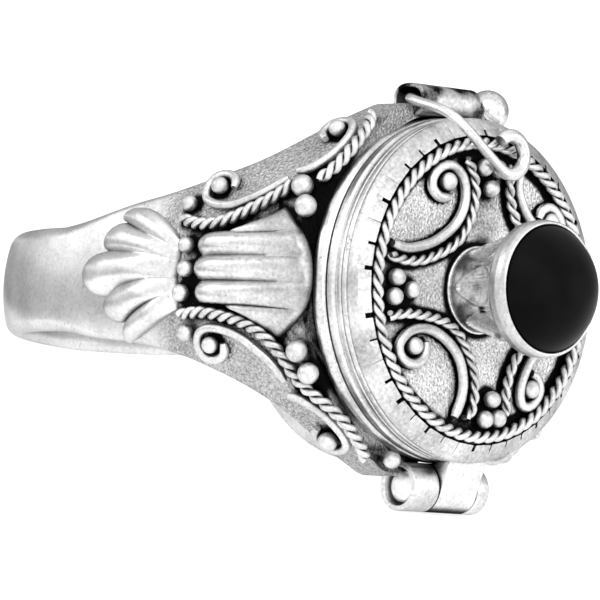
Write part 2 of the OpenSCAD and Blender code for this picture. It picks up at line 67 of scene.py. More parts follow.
view_right = Vector((0.69666, 0.71639, 0.03805))
view_up = Vector((0.01395, -0.06656, 0.99768))
view_back = Vector((0.71727, -0.69452, -0.05637))
looked_at, view_distance, off_right, off_up = Vector((8, 0, 0)), 300, -0.365, -0.304
camera_spot = looked_at + view_distance * view_back + off_right * view_right + off_up * view_up
camera_data = bpy.data.cameras.new("photo_view")
camera_data.sensor_width = 36
camera_data.lens = 357.85
camera_data.clip_start = 0.01
camera_data.clip_end = 10
camera = bpy.data.objects.new("photo_view", camera_data)
bpy.context.collection.objects.link(camera)
view_axes = Matrix([LAID @ view_right, LAID @ view_up, LAID @ view_back]).transposed()
camera.matrix_world = Matrix.Translation(LAID @ camera_spot * MM) @ view_axes.to_4x4()
bpy.context.scene.camera = camera
bpy.context.scene.view_settings.view_transform = "Standard"


def wire(tree, node, wires):
    for key, value in wires.items():
        if isinstance(value, bpy.types.NodeSocket):
            tree.links.new(value, node.inputs[key])
        else:
            node.inputs[key].default_value = value


def make(tree, kind, wires=None, **settings):
    made = tree.nodes.new(kind)
    for key, value in settings.items():
        setattr(made, key, value)
    wire(tree, made, wires or {})
    return made


def new_finish(name):
    finish = bpy.data.materials.new(name)
    finish.use_nodes = True
    return finish, finish.node_tree, finish.node_tree.nodes["Principled BSDF"]


def noise(tree, scale, detail):
    place = make(tree, "ShaderNodeTexCoord").outputs["Object"]
    wires = {"Vector": place, "Scale": scale, "Detail": detail}
    return make(tree, "ShaderNodeTexNoise", wires).outputs["Fac"]


def vector_calc(tree, operation, *terms, out="Vector"):
    return make(tree, "ShaderNodeVectorMath", dict(enumerate(terms)), operation=operation).outputs[out]


def ramp(tree, factor, stops):
    made = make(tree, "ShaderNodeValToRGB", {"Fac": factor})
    elements = made.color_ramp.elements
    while len(elements) < len(stops):
        elements.new(0.5)
    for element, (place, shade) in zip(elements, stops):
        element.position = place
        element.color = (shade, shade, shade, 1)
    return made.outputs["Color"]


def flat_sheet(name, corners, height, finish):
    mesh = bpy.data.meshes.new(name)
    mesh.from_pydata([(x, y, height) for x, y in corners], [], [(0, 1, 2, 3)])
    mesh.materials.append(finish)
    sheet = bpy.data.objects.new(name, mesh)
    bpy.context.collection.objects.link(sheet)
    return sheet


table_white, tree, shader = new_finish("white_table")
table_tone = ramp(tree, noise(tree, 400, 3), [(0.3, 0.33), (0.7, 0.36)])
wire(tree, shader, {"Base Color": table_tone, "Roughness": 0.75, "Specular IOR Level": 0.2,
    "Emission Color": (1, 1, 1, 1), "Emission Strength": 0.86})
half_table, table_z = 0.4, cad_box[0].z
table_corners = [(x * half_table, y * half_table) for x, y in ((-1, -1), (1, -1), (1, 1), (-1, 1))]
table = flat_sheet("table", table_corners, table_z, table_white)

card_grey, tree, shader = new_finish("grey_card")
wire(tree, shader, {"Base Color": (0.42, 0.42, 0.42, 1), "Roughness": 0.9})
card_left, card_far, card_back, card_front, card_lift = -14.5, -70, -50, 25, 0.1
card_corners = [(LAID @ (a * view_right + b * view_back) * MM)[:2] for a, b in (
    (card_left, card_back), (card_left, card_front), (card_far, card_front), (card_far, card_back))]
card = flat_sheet("card", card_corners, table_z + card_lift * MM, card_grey)
card.visible_camera = False

room = bpy.data.worlds.new("studio")
room.use_nodes = True
tree = room.node_tree
way = make(tree, "ShaderNodeTexCoord").outputs["Generated"]
way_up = make(tree, "ShaderNodeSeparateXYZ", {"Vector": way}).outputs["Z"]
way_front = vector_calc(tree, "DOT_PRODUCT", way, LAID @ view_back, out="Value")
from_above = ramp(tree, way_up, [(0.0, 0.12), (0.15, 0.14), (0.45, 0.24), (0.9, 0.34)])
from_front = ramp(tree, way_front, [(0.0, 0.34), (0.35, 0.46), (0.8, 0.92), (0.985, 0.96), (0.995, 0.1)])
room_light = vector_calc(tree, "ADD", from_above, from_front)
wire(tree, tree.nodes["Background"], {"Color": room_light, "Strength": 1.08})
bpy.context.scene.world = room


def soft_box(name, spot, size, power):
    data = bpy.data.lights.new(name, "AREA")
    data.shape = "RECTANGLE"
    data.size, data.size_y = size
    data.energy = power
    lamp = bpy.data.objects.new(name, data)
    lamp.location = spot
    lamp.rotation_euler = (Vector((0.005, 0, 0)) - Vector(spot)).to_track_quat("-Z", "Y").to_euler()
    bpy.context.collection.objects.link(lamp)


soft_box("top_box", (0.1, 0.0, 0.55), (1.2, 1.2), 1.6)
soft_box("key_box", (0.16, -0.3, 0.36), (0.3, 0.25), 0.35)
soft_box("right_box", (0.55, -0.12, 0.2), (0.3, 0.35), 0.35)
soft_box("far_box", (0.44, 0.4, 0.2), (0.35, 0.35), 0.5)
soft_box("left_box", (-0.4, -0.42, 0.18), (0.35, 0.3), 0.5)


# Shank. A domed band goes round the finger, and its two sides widen into thin sheets that rise past
# the finger and lean in to the locket. It is sterling silver, oxidised black and then polished, and
# the flat grounds of its shoulders keep a fine matte grain.
def calc(tree, operation, *terms):
    return make(tree, "ShaderNodeMath", dict(enumerate(terms)), operation=operation).outputs[0]


def remap(tree, value, old, new=(0.0, 1.0), curve="LINEAR"):
    wires = {"Value": value, "From Min": old[0], "From Max": old[1], "To Min": new[0], "To Max": new[1]}
    return make(tree, "ShaderNodeMapRange", wires, interpolation_type=curve).outputs["Result"]


def mix(tree, share, low, high):
    return make(tree, "ShaderNodeMix", {0: share, 2: low, 3: high}).outputs[0]


def silver(name, tone, roughness, reach, black_at, full_tone_at, uneven=0.25, ground=None, with_oxide_and_shade=False,
        alone=False):
    """Blackened and polished silver, with painted shade. It is black where no more than black_at of the sky
    is open within reach, in mm, and at full tone from the upper threshold up: this stands for black oxide in
    its hollows and is also painted shade in its creases, valleys and contacts. A ground turns matte between
    its two heights, with a tone of its own, and a finish with dark marks also reads the dark marks of its
    mesh, some of black oxide and some of painted shade."""
    finish, tree, shader = new_finish(name)
    patches, scuffs, pits = noise(tree, 450, 4), noise(tree, 2600, 3), noise(tree, 9000, 2)
    # Painted shade: where little sky is open the colour darkens, which paints the shade of creases, valleys
    # and contacts as well as the black oxide in the hollows.
    open_sky = make(tree, "ShaderNodeAmbientOcclusion", {"Distance": reach * MM}, samples=8,
        only_local=alone).outputs["AO"]
    open_sky = calc(tree, "MULTIPLY_ADD", calc(tree, "SUBTRACT", pits, 0.5), 0.25, open_sky)
    if ground or with_oxide_and_shade:
        # The dark marks of the mesh darken the colour: some are black oxide, others are painted shade.
        oxide_and_shade = make(tree, "ShaderNodeAttribute", attribute_name="oxide_and_shade").outputs["Fac"]
        oxide_and_shade = calc(tree, "MULTIPLY", oxide_and_shade, remap(tree, patches, (0, 1), (-0.5, 2.3)))
        open_sky = calc(tree, "SUBTRACT", open_sky, calc(tree, "MAXIMUM", oxide_and_shade, 0.0))
    clean_and_lit = remap(tree, open_sky, (black_at, full_tone_at), curve="SMOOTHSTEP")
    mottle = calc(tree, "MULTIPLY_ADD", noise(tree, 5500, 5), 0.8, patches)
    mottle = remap(tree, mottle, (0.62, 1.12), (1 - uneven, 1 + 0.3 * uneven))
    specks = remap(tree, pits, (0.66, 0.74), (1.0, 0.45))
    metal_tone = calc(tree, "MULTIPLY", calc(tree, "MULTIPLY", mottle, tone), specks)
    rough = remap(tree, scuffs, (0, 1), (roughness * 0.75, roughness * 1.35))
    relief = calc(tree, "MULTIPLY", scuffs, 0.15)
    if ground:
        ground_from, ground_to, ground_tone = ground
        place = make(tree, "ShaderNodeTexCoord").outputs["Object"]
        height = vector_calc(tree, "DOT_PRODUCT", place, HEAD_AXIS, out="Value")
        height = calc(tree, "MULTIPLY_ADD", patches, 2.5 * MM, height)
        matte = remap(tree, height, ((ground_from + 1.25) * MM, (ground_to + 1.25) * MM))
        spots = remap(tree, noise(tree, 8500, 3), (0.32, 0.68), (0.5 * ground_tone, 1.22 * ground_tone))
        metal_tone = mix(tree, matte, metal_tone, calc(tree, "MULTIPLY", metal_tone, spots))
        rough = mix(tree, matte, rough, 0.5)
        grains = make(tree, "ShaderNodeTexVoronoi", {"Vector": place, "Scale": 7000.0}).outputs["Distance"]
        relief = calc(tree, "MULTIPLY_ADD", grains, matte, relief)
    shade = calc(tree, "MAXIMUM", calc(tree, "MULTIPLY", metal_tone, clean_and_lit), 0.006)
    grey = make(tree, "ShaderNodeCombineColor", {0: shade, 1: shade, 2: shade}).outputs[0]
    bump = make(tree, "ShaderNodeBump", {"Height": relief, "Strength": 0.6, "Distance": 0.08 * MM})
    wire(tree, shader, {"Base Color": grey, "Roughness": mix(tree, clean_and_lit, 0.6, rough), "Metallic": 1.0,
        "Specular Tint": (0.6, 0.6, 0.6, 1), "Normal": bump.outputs["Normal"]})
    return finish


shank_silver = silver("shank_silver", tone=0.8, roughness=0.3, reach=0.5, black_at=0.2, full_tone_at=0.8,
    uneven=0.25, ground=(7.0, 8.5, 0.76), alone=True)
band_half, sheet_out, finger_r = 2.7, 10.04, 8.8
dome_r, dome_rise = 8, 2
outer_round, inner_round = 0.75, 0.45
bend_h, lean = 10.0, math.radians(9.3)
sheet_top, top_row = 17.6, 17.5
# The sheet's upper and lower edges are read off by height, and its top edge by the place across it.
UPPER_EDGE = [
    (0, 2.85), (1.5, 3.1), (3, 3.45), (5, 3.95), (7, 4.35), (9, 4.85), (10.5, 5.3),
    (12, 5.85), (13.2, 6.5), (14.2, 7.25), (15, 8), (15.7, 8.7), (16.3, 9.4), (18, 10.4),
]
LOWER_EDGE = [
    (0, -2.35), (1.2, -2.5), (2.5, -2.72), (5, -2.95), (7, -3.25), (9, -3.7), (10.5, -4.2),
    (12, -4.85), (13.2, -5.55), (14.2, -6.3), (14.9, -7.2), (15.3, -8.2), (15.7, -9.4), (18, -10.4),
]
TOP_EDGE = [(-10, 17.35), (-5.4, 17.35), (-3.6, 16.95), (3.6, 16.95), (5.4, 17.6), (10, 17.6)]
sheet_limits = {-1: (-9.2, 9.0), 1: (-7.6, 7.6)}


def smooth(points, steps=6):
    knots = [Vector(p) for p in points]
    knots = [2 * knots[0] - knots[1]] + knots + [2 * knots[-1] - knots[-2]]
    curve = [knots[1]]
    for a, b, c, d in zip(knots, knots[1:], knots[2:], knots[3:]):
        for k in range(1, steps + 1):
            t = k / steps
            curve.append((2 * b + t * (c - a) + t * t * (2 * a - 5 * b + 4 * c - d)
                + t ** 3 * (3 * b - a - 3 * c + d)) / 2)
    return curve


def read_off(table, at):
    for (x0, y0), (x1, y1) in zip(table, table[1:]):
        if at <= x1:
            return y0 + (y1 - y0) * max(0, at - x0) / (x1 - x0)
    return table[-1][1]


def ease(t):
    t = min(max(t, 0), 1)
    return t * t * (3 - 2 * t)


def sheet_side(h, f, radius):
    wide = math.sqrt(max(radius * radius - f * f, 0))
    past = h - bend_h - wide * math.tan(lean / 2)
    return wide - math.tan(lean) * (past + math.sqrt(past * past + 0.25)) / 2


def skin(rows, close_rows=False, close_columns=True):
    n = len(rows[0])
    faces = []
    for i in range(len(rows) - (not close_rows)):
        j = (i + 1) % len(rows)
        for k in range(n - (not close_columns)):
            m = (k + 1) % n
            faces.append((i * n + k, i * n + m, j * n + m, j * n + k))
    return [p for row in rows for p in row], faces


def capped(rows):
    points, faces = skin(rows)
    n = len(rows[0])
    last = len(points) - n
    return points, faces + [tuple(range(n)), tuple(range(len(points) - 1, last - 1, -1))]


def solid(name, shells, finish, sharp=42):
    work = bmesh.new()
    for points, faces in shells:
        corners = [work.verts.new(LAID @ Vector(p) * MM) for p in points]
        for face in faces:
            work.faces.new([corners[i] for i in face])
    bmesh.ops.remove_doubles(work, verts=work.verts, dist=2e-7)
    bmesh.ops.dissolve_degenerate(work, edges=work.edges, dist=1e-8)
    bmesh.ops.recalc_face_normals(work, faces=work.faces)
    mesh = bpy.data.meshes.new(name)
    work.to_mesh(mesh)
    work.free()
    mesh.shade_smooth()
    mesh.set_sharp_from_angle(angle=math.radians(sharp))
    mesh.materials.append(finish)
    thing = bpy.data.objects.new(name, mesh)
    bpy.context.collection.objects.link(thing)
    return thing


def oxide_and_shade_near(thing, marks, strength=1.0):
    """Blackens a mesh near each mark: a place, a radius, a reach and, where given, its own strength. Some
    marks stand for black oxide, others are painted shade.
    """
    groups = {}
    for place, radius, reach, *own in marks:
        groups.setdefault((radius, reach, own[0] if own else strength), []).append(LAID @ Vector(place))
    trees = []
    for (radius, reach, depth), places in groups.items():
        tree = KDTree(len(places))
        for number, place in enumerate(places):
            tree.insert(place, number)
        tree.balance()
        trees.append((tree, radius, reach, depth))
    levels = []
    for corner in thing.data.vertices:
        level = 0.0
        for tree, radius, reach, depth in trees:
            gap = tree.find(corner.co / MM)[2] - radius
            level = max(level, depth * (1 - ease(gap / reach)))
        levels.append(level)
    thing.data.attributes.new("oxide_and_shade", "FLOAT", "POINT").data.foreach_set("value", levels)


def rounding(edge, size):
    return size * (1 - math.sqrt(1 - (1 - edge / size) ** 2)) if edge < size else 0


def shank_section(side, h, turn):
    low, high = read_off(smooth(LOWER_EDGE), h), read_off(smooth(UPPER_EDGE), h)
    if turn is not None:
        behind = ease(turn / 1.2)
        high += (band_half - high) * behind
        low += (-band_half + (0.45 if side < 0 else 0.0) * math.cos(turn) - low) * behind
    soft_edge = 0.22 + 0.34 * (ease((4 - h) / 4) if turn is None else 1)
    low, high = max(low, sheet_limits[side][0]), min(high, sheet_limits[side][1])
    outer, inner = [], []
    columns = 72
    for k in range(columns + 1):
        s = k / columns
        s -= 0.045 * math.sin(4 * math.pi * s) if 0 < k < columns else 0
        f = low + (high - low) * s
        round_off = rounding(max(min(f - low, high - f), 0), soft_edge)
        if turn is None:
            up = h * (1 - (1 - read_off(TOP_EDGE, f) / sheet_top) * (h / sheet_top) ** 4)
            out = sheet_side(up, f, sheet_out) - outer_round * round_off
            back = max(sheet_side(up, f, finger_r + 0.24 * ease(h / 3)),
                math.sqrt(max(finger_r ** 2 - up * up, 0)))
            outer.append((up, side * out, f))
            inner.append((up, side * (back + inner_round * round_off), f))
        else:
            dome = dome_rise + math.sqrt(dome_r ** 2 - f * f)
            flat = math.sqrt(sheet_out ** 2 - f * f)
            out = flat + (dome - flat) * ease(turn / 0.9) - outer_round * round_off
            back = finger_r + inner_round * round_off
            outer.append((-out * math.sin(turn), side * out * math.cos(turn), f))
            inner.append((-back * math.sin(turn), side * back * math.cos(turn), f))
    return outer + inner[::-1]


sheet_steps, hoop_steps = 56, 30
sheet_heights = [sheet_top - 0.05] + [top_row * (1 - k / sheet_steps) for k in range(sheet_steps)] + [0.0]
hoop_turns = [math.pi / 2 * k / hoop_steps for k in range(1, hoop_steps)]
shank_rows = [shank_section(-1, h, None) for h in sheet_heights]
shank_rows += [shank_section(-1, 0, t) for t in hoop_turns] + [shank_section(-1, 0, math.pi / 2)]
shank_rows += [shank_section(1, 0, t) for t in hoop_turns[::-1]]
shank_rows += [shank_section(1, h, None) for h in sheet_heights[::-1]]

arch_steps, arch_columns, arch_narrowing = 64, 16, 0.16
arch_rows = []
for k in range(arch_steps + 1):
    turn = math.pi * (k / arch_steps)
    narrow = 1 - arch_narrowing * (1 - ease(min(turn, math.pi - turn) / 0.5))
    widths = [band_half * (2 * j / arch_columns - 1) for j in range(arch_columns + 1)]
    loop = []
    for f in widths:
        edge = max(band_half - abs(f), 0)
        f *= narrow if f < 0 else 1
        loop.append((dome_rise + math.sqrt(dome_r ** 2 - f * f) - 0.02 - rounding(edge, 0.34) / 1.7, f))
    for f in widths[::-1]:
        loop.append((finger_r + (0.12 if abs(f) == band_half else 0), f * (narrow if f < 0 else 1)))
    arch_rows.append([(r * math.sin(turn), -r * math.cos(turn), f) for r, f in loop])
shank = solid("shank", [capped(shank_rows), capped(arch_rows)], shank_silver)


def settle(piece, body, slot, *nodes):
    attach(piece, body)
    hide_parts(*nodes)


settle(shank, "ring", "silver", "shank")


# Shells. On each shoulder a fan of five puffed lobes, pressed from sheet and soldered down, with a
# deep crease between two lobes and a round tip on each. They are the brightest parts of the band.
# Painted shade: its wide occlusion reach darkens the creases between the lobes.
shell_silver = silver("shell_silver", tone=0.92, roughness=0.32, reach=0.9, black_at=0.05, full_tone_at=0.88,
    uneven=0.25, with_oxide_and_shade=True)
# A place on a shoulder is given as u, up the sheet from its bend, and v, across it, in mm.
CREASES = [
    [(-2.35, -1.4), (-3.55, -1.95), (-4.85, -2.55), (-5.9, -3.05)],
    [(-2.3, -0.6), (-3.6, -0.85), (-5, -1.35), (-6.1, -1.95)],
    [(-2.4, 0.1), (-4.4, 0.05), (-6.3, -0.25), (-7.5, -0.8)],
    [(-2.35, 0.85), (-4.2, 1.2), (-6.2, 1.4), (-7.6, 1.5)],
    [(-2.3, 1.4), (-3.7, 1.9), (-5.25, 2.45), (-6.55, 2.95)],
    [(-2.3, 1.85), (-3.1, 2.6), (-4.3, 3.35), (-5.2, 3.7)],
]
# Each lobe has the place of its tip and its height.
TIPS = [(-6.4, -2.75, 0.75), (-7.4, -1.75, 0.85), (-9.3, 0.3, 0.95), (-7.8, 2.35, 0.85), (-6.7, 3.5, 0.75)]


def on_sheet(u, v, lift):
    angle = v / sheet_out
    wide = (sheet_out + lift) * math.cos(angle)
    f = (sheet_out + lift) * math.sin(angle)
    bend = -wide * math.tan(lean / 2)
    if u > bend:
        return (bend_h + u * math.cos(lean) + wide * math.sin(lean),
            u * math.sin(lean) - wide * math.cos(lean), f)
    return bend_h + u - 2 * bend, -wide, f


def on_side(places, side):
    return [(h, y * -side, f) for h, y, f in places]


def mirrored(shell):
    return on_side(shell[0], 1), [face[::-1] for face in shell[1]]


def pillow(columns, sink=0.12):
    top = [[on_sheet(*p) for p in column] for column in columns]
    foot = [[on_sheet(u, v, -sink) for u, v, lift in column] for column in columns]
    m, n = len(columns), len(columns[0])
    points = [p for grid in (top, foot) for column in grid for p in column]
    base = m * n
    faces = []
    for j in range(m - 1):
        for i in range(n - 1):
            a, b, c, d = j * n + i, (j + 1) * n + i, (j + 1) * n + i + 1, j * n + i + 1
            faces += [(a, b, c, d), (base + d, base + c, base + b, base + a)]
        for i in (0, n - 1):
            faces.append((j * n + i, base + j * n + i, base + (j + 1) * n + i, (j + 1) * n + i))
    for i in range(n - 1):
        for j in (0, m - 1):
            faces.append((j * n + i, j * n + i + 1, base + j * n + i + 1, base + j * n + i))
    return points, faces


def along_curve(curve, share):
    place = share * (len(curve) - 1)
    j = min(int(place), len(curve) - 2)
    return curve[j].lerp(curve[j + 1], place - j)


def shell_columns():
    across, along = 16, 36
    columns = []
    for number, (tip_u, tip_v, crown) in enumerate(TIPS):
        low, high = smooth(CREASES[number], 8), smooth(CREASES[number + 1], 8)
        push = Vector((tip_u, tip_v)) - (low[-1] + high[-1]) / 2
        for k in range(0 if number == 0 else 1, across + 1):
            s = k / across
            t = 2 * s - 1
            outer_side = (number == 0 and t < 0) or (number == 4 and t > 0)
            round_tip = math.sqrt(max(1 - t * t, 0))
            column = []
            for i in range(along + 1):
                e = 1 - (1 - i / along) ** 1.35
                deep = ease((e + 0.25) / 0.6) if outer_side else ease((e + 0.1) / 0.9)
                crease = abs(t) ** 2.6 * 0.5
                side = 1 - (1 - round_tip if outer_side else crease) * deep
                end = math.sqrt(max(1 - (max(e - 0.66, 0) / 0.34) ** 2, 0))
                root = 0.3 + 0.7 * ease(e / 0.5) if i > 1 else (0, 0.2)[i]
                spot = along_curve(low, e).lerp(along_curve(high, e), s) + push * round_tip * e ** 1.6
                column.append((spot[0], spot[1], crown * side * end * root))
            columns.append(column)
    return columns


# The front shoulder is drawn, and the back one is its mirror image.
SIDES = ((-1, "front"), (1, "back"))
front_shell = pillow(shell_columns())
for side, body_side in SIDES:
    shell = front_shell if side < 0 else mirrored(front_shell)
    pressed = solid("shell_" + body_side, [shell], shell_silver, 70)
    oxide_and_shade_near(pressed, [(p, 0.4, 1.2) for p in on_side([on_sheet(-2.6, 0.5, 0.3)], side)], 0.25)
    settle(pressed, "ring", "bright_silver", "shell_" + body_side)


# Fluted barrels. Above each shell stand five ribs of half-round wire side by side, rounded at their
# lower ends and sinking into the sheet where they reach the locket's rim.
# Painted shade: its wide occlusion reach darkens the creases between the flutes.
barrel_silver = silver("barrel_silver", tone=0.82, roughness=0.3, reach=0.9, black_at=0.06, full_tone_at=0.92,
    uneven=0.4, with_oxide_and_shade=True)
# Each flute has its two edges at the root, its two edges at the rim, its start and its height.
FLUTES = [
    (-1.4, -1.1, -2.95, -1.55, 0.9, 0.75),
    (-1.2, -0.05, -1.55, -0.2, -1, 0.9),
    (-0.05, 1.1, -0.2, 1.1, -1.1, 0.95),
    (1.1, 2.2, 1.1, 2.3, -1, 0.9),
    (2, 2.3, 2.3, 3.6, 0.8, 0.75),
]


def barrel_columns():
    across, along = 12, 36
    columns = []
    for number, (root0, root1, rim0, rim1, start, crown) in enumerate(FLUTES):
        for k in range(0 if number == 0 else 1, across + 1):
            s = k / across
            t = 2 * k / across - 1
            outer_side = (number == 0 and t < 0) or (number == 4 and t > 0)
            root, rim = root0 + (root1 - root0) * s, rim0 + (rim1 - rim0) * s
            first, end = start + 0.35 * t * t, 5.9 - 2.1 * abs(rim / (3.6 if rim > 0 else 2.95)) ** 2.3
            column = []
            for i in range(along + 1):
                e = (i / along) ** 1.25
                spread = e ** 1.3
                deep = 0.92 if outer_side else 0.8 - 0.2 * ease((e - 0.4) / 0.5)
                crease = abs(t) ** 2.6
                side = math.sqrt(1 - deep * t * t) if outer_side else 1 - 0.5 * deep * crease
                lift = math.sqrt(1 - (1 - min(e / 0.22, 1)) ** 2) * (1 - 0.5 * ease((e - 0.3) / 0.7))
                lift *= math.sqrt(max(1 - (max(e - 0.93, 0) / 0.07) ** 2, 0.04))
                column.append((first + (end - first) * e, root + (rim - root) * spread, crown * side * lift))
            columns.append(column)
    return columns


front_barrel = pillow(barrel_columns())
rim_line = [on_sheet(6.2 - 0.14 * v * v, v, 0.2) for v in (-3.6 + 0.4 * k for k in range(19))]
for side, body_side in SIDES:
    shell = front_barrel if side < 0 else mirrored(front_barrel)
    fluted = solid("fluted_barrel_" + body_side, [shell], barrel_silver, 70)
    # Painted shade: each flute darkens over its last 3.4 mm towards the locket's rim.
    oxide_and_shade_near(fluted, [(p, 0.2, 3.4) for p in on_side(rim_line, side)], 0.5)
    settle(fluted, "ring", "bright_silver", "fluted_barrel_" + body_side)


# Shoulder ropes. Two round wires twisted together and soldered edge on to the shoulder: they arch
# from the shell along both sides of the barrel and out to the corners of the locket.
wire_silver = silver("wire_silver", tone=0.8, roughness=0.4, reach=0.5, black_at=0.1, full_tone_at=0.85,
    uneven=0.35)
ROPE_TOP_1 = [(-2.3, 2.95), (-1.2, 2.7), (-0.1, 2.7), (1, 3), (1.9, 3.4), (2.8, 3.85), (3.5, 4.3), (3.9, 4.7)]
ROPE_TOP_2 = [(5.5, 4.95), (5.95, 5.35), (6.3, 5.9), (6.6, 6.7), (6.75, 7.5), (6.7, 8.5), (6.3, 9.3)]
ROPE_LOW = [
    (-2, -1.7), (-1.2, -1.6), (-0.2, -1.6), (0.7, -1.75), (1.6, -1.95), (2.5, -2.3), (3.2, -2.75),
    (3.7, -3.25), (4.1, -3.8), (4.4, -4.4), (4.75, -5), (5.3, -5.6), (5.85, -6.15), (6.3, -6.7),
    (6.6, -7.3), (6.75, -8), (6.75, -8.9), (6.55, -9.6),
]


def start_tree(name, inputs):
    tree = bpy.data.node_groups.new(name, "GeometryNodeTree")
    tree.interface.new_socket("Geometry", in_out="INPUT", socket_type="NodeSocketGeometry")
    for label, kind in inputs.items():
        tree.interface.new_socket(label, in_out="INPUT", socket_type="NodeSocket" + kind)
    tree.interface.new_socket("Geometry", in_out="OUTPUT", socket_type="NodeSocketGeometry")
    return tree, tree.nodes.new("NodeGroupInput").outputs


def end_tree(tree, shape, finish, rounded_off=True):
    shape = make(tree, "GeometryNodeRealizeInstances", {"Geometry": shape}).outputs[0]
    if rounded_off:
        shape = make(tree, "GeometryNodeSetShadeSmooth", {"Geometry": shape}).outputs[0]
    shape = make(tree, "GeometryNodeSetMaterial", {"Geometry": shape, "Material": finish}).outputs[0]
    tree.links.new(shape, tree.nodes.new("NodeGroupOutput").inputs[0])


def resampled(tree, line, step):
    path = make(tree, "GeometryNodeMeshToCurve", {"Mesh": line}).outputs[0]
    return make(tree, "GeometryNodeResampleCurve", {"Curve": path, "Length": step}, mode="LENGTH").outputs[0]


def swept(tree, path, radius, sides, more):
    wires = {"Resolution": sides, "Radius": radius}
    section = make(tree, "GeometryNodeCurvePrimitiveCircle", wires).outputs[0]
    wires = {"Curve": path, "Profile Curve": section, "Fill Caps": True, **more}
    return make(tree, "GeometryNodeCurveToMesh", wires).outputs[0]


def scaled(tree, vector, share):
    wires = {0: vector, "Scale": share}
    return make(tree, "ShaderNodeVectorMath", wires, operation="SCALE").outputs["Vector"]


def grown(name, tree, lines, values, sizes=None):
    start = bpy.data.meshes.new(name)
    points, edges = [], []
    for line in lines:
        edges += [(len(points) + k, len(points) + k + 1) for k in range(len(line) - 1)]
        points += [LAID @ Vector(p) * MM for p in line]
    start.from_pydata(points, edges, [])
    if sizes:
        start.attributes.new("size", "FLOAT", "POINT").data.foreach_set("value", [s * MM for s in sizes])
    return grow(name, tree, start, values)


def grow(name, tree, start, values):
    thing = bpy.data.objects.new(name, start)
    bpy.context.collection.objects.link(thing)
    growth = thing.modifiers.new("growth", "NODES")
    growth.node_group = tree
    for item in tree.interface.items_tree:
        if item.in_out == "INPUT" and item.name in values:
            growth[item.identifier] = values[item.name]
    mesh = bpy.data.meshes.new_from_object(thing.evaluated_get(bpy.context.evaluated_depsgraph_get()))
    thing.modifiers.remove(growth)
    thing.data = mesh
    return thing


twist, twist_in = start_tree("twisted_wires", {"Radius": "Float", "Pitch": "Float", "Finish": "Material"})
path = resampled(twist, twist_in["Geometry"], calc(twist, "DIVIDE", twist_in["Pitch"], 14.0))
along = make(twist, "GeometryNodeSplineParameter").outputs["Length"]
turns = calc(twist, "MULTIPLY", calc(twist, "DIVIDE", along, twist_in["Pitch"]), -1.0)
away = make(twist, "GeometryNodeInputNormal").outputs[0]
ahead = make(twist, "GeometryNodeInputTangent").outputs[0]
aside = vector_calc(twist, "CROSS_PRODUCT", ahead, away)
half_wire = calc(twist, "MULTIPLY", twist_in["Radius"], 0.52)
both = make(twist, "GeometryNodeJoinGeometry")
for phase in (0.0, math.pi):
    angle = calc(twist, "MULTIPLY_ADD", turns, 2 * math.pi, phase)
    shifts = [scaled(twist, way, calc(twist, "MULTIPLY", calc(twist, trig, angle), half_wire))
        for trig, way in (("COSINE", away), ("SINE", aside))]
    wires = {"Geometry": path, "Offset": vector_calc(twist, "ADD", *shifts)}
    strand = make(twist, "GeometryNodeSetPosition", wires).outputs[0]
    twist.links.new(swept(twist, strand, half_wire, 10, {}), both.inputs[0])
end_tree(twist, both.outputs[0], twist_in["Finish"])


def over_sheet(points, radius, side):
    return on_side([on_sheet(u, v, radius) for u, v in smooth(points, 5)], side)


shoulder_rope_r = 0.31
shoulder_rope_values = {"Radius": shoulder_rope_r * MM, "Pitch": 1.2 * MM, "Finish": wire_silver}
for side, body_side, short in ((-1, "front", 0), (1, "back", 3)):
    ropes = [ROPE_TOP_1, ROPE_TOP_2[:len(ROPE_TOP_2) - short], ROPE_LOW[:len(ROPE_LOW) - short]]
    lines = [over_sheet(rope, shoulder_rope_r, side) for rope in ropes]
    twisted = grown("shoulder_ropes_" + body_side, twist, lines, shoulder_rope_values)
    settle(twisted, "ring", "silver", "shoulder_ropes_" + body_side)


# Shoulder scrolls. Plain round wires, hammered a little flat, that leave the ropes and curl round
# one granule each. Their ends are filed to a taper.
SCROLL_1 = [
    (3.55, 5.1), (3.1, 4.75), (2.6, 4.45), (2.05, 4.15), (1.5, 3.95), (0.8, 3.7), (0.1, 3.65), (-0.55, 3.75),
    (-1.1, 4.05), (-1.25, 4.6), (-1.05, 5.1), (-0.55, 5.35), (0, 5.3), (0.35, 5), (0.4, 4.6),
]
SCROLL_2 = [
    (3.9, 5.5), (4.5, 5.6), (5, 5.9), (5.5, 6.4), (5.85, 7.1), (5.95, 7.8), (5.75, 8.4), (5.35, 8.8),
    (4.8, 8.85), (4.35, 8.6), (4.2, 7.95), (4.6, 7.5),
]
SCROLL_3 = [
    (3.8, -5), (3.5, -4.4), (3.1, -3.9), (2.5, -3.4), (1.9, -2.95), (1.3, -2.65), (0.7, -2.45), (0.1, -2.35),
    (-0.5, -2.4), (-0.95, -2.75), (-1, -3.35), (-0.6, -3.85), (0, -3.9), (0.5, -3.6), (0.55, -3.1),
]
SCROLL_4 = [
    (3.8, -5.75), (4.4, -5.95), (4.9, -6.3), (5.4, -6.75), (5.8, -7.4), (6, -8.1), (5.9, -8.7), (5.45, -9.1),
    (4.85, -9.1), (4.4, -8.7), (4.35, -8.1), (4.7, -7.65),
]
shoulder_scroll_r = 0.23

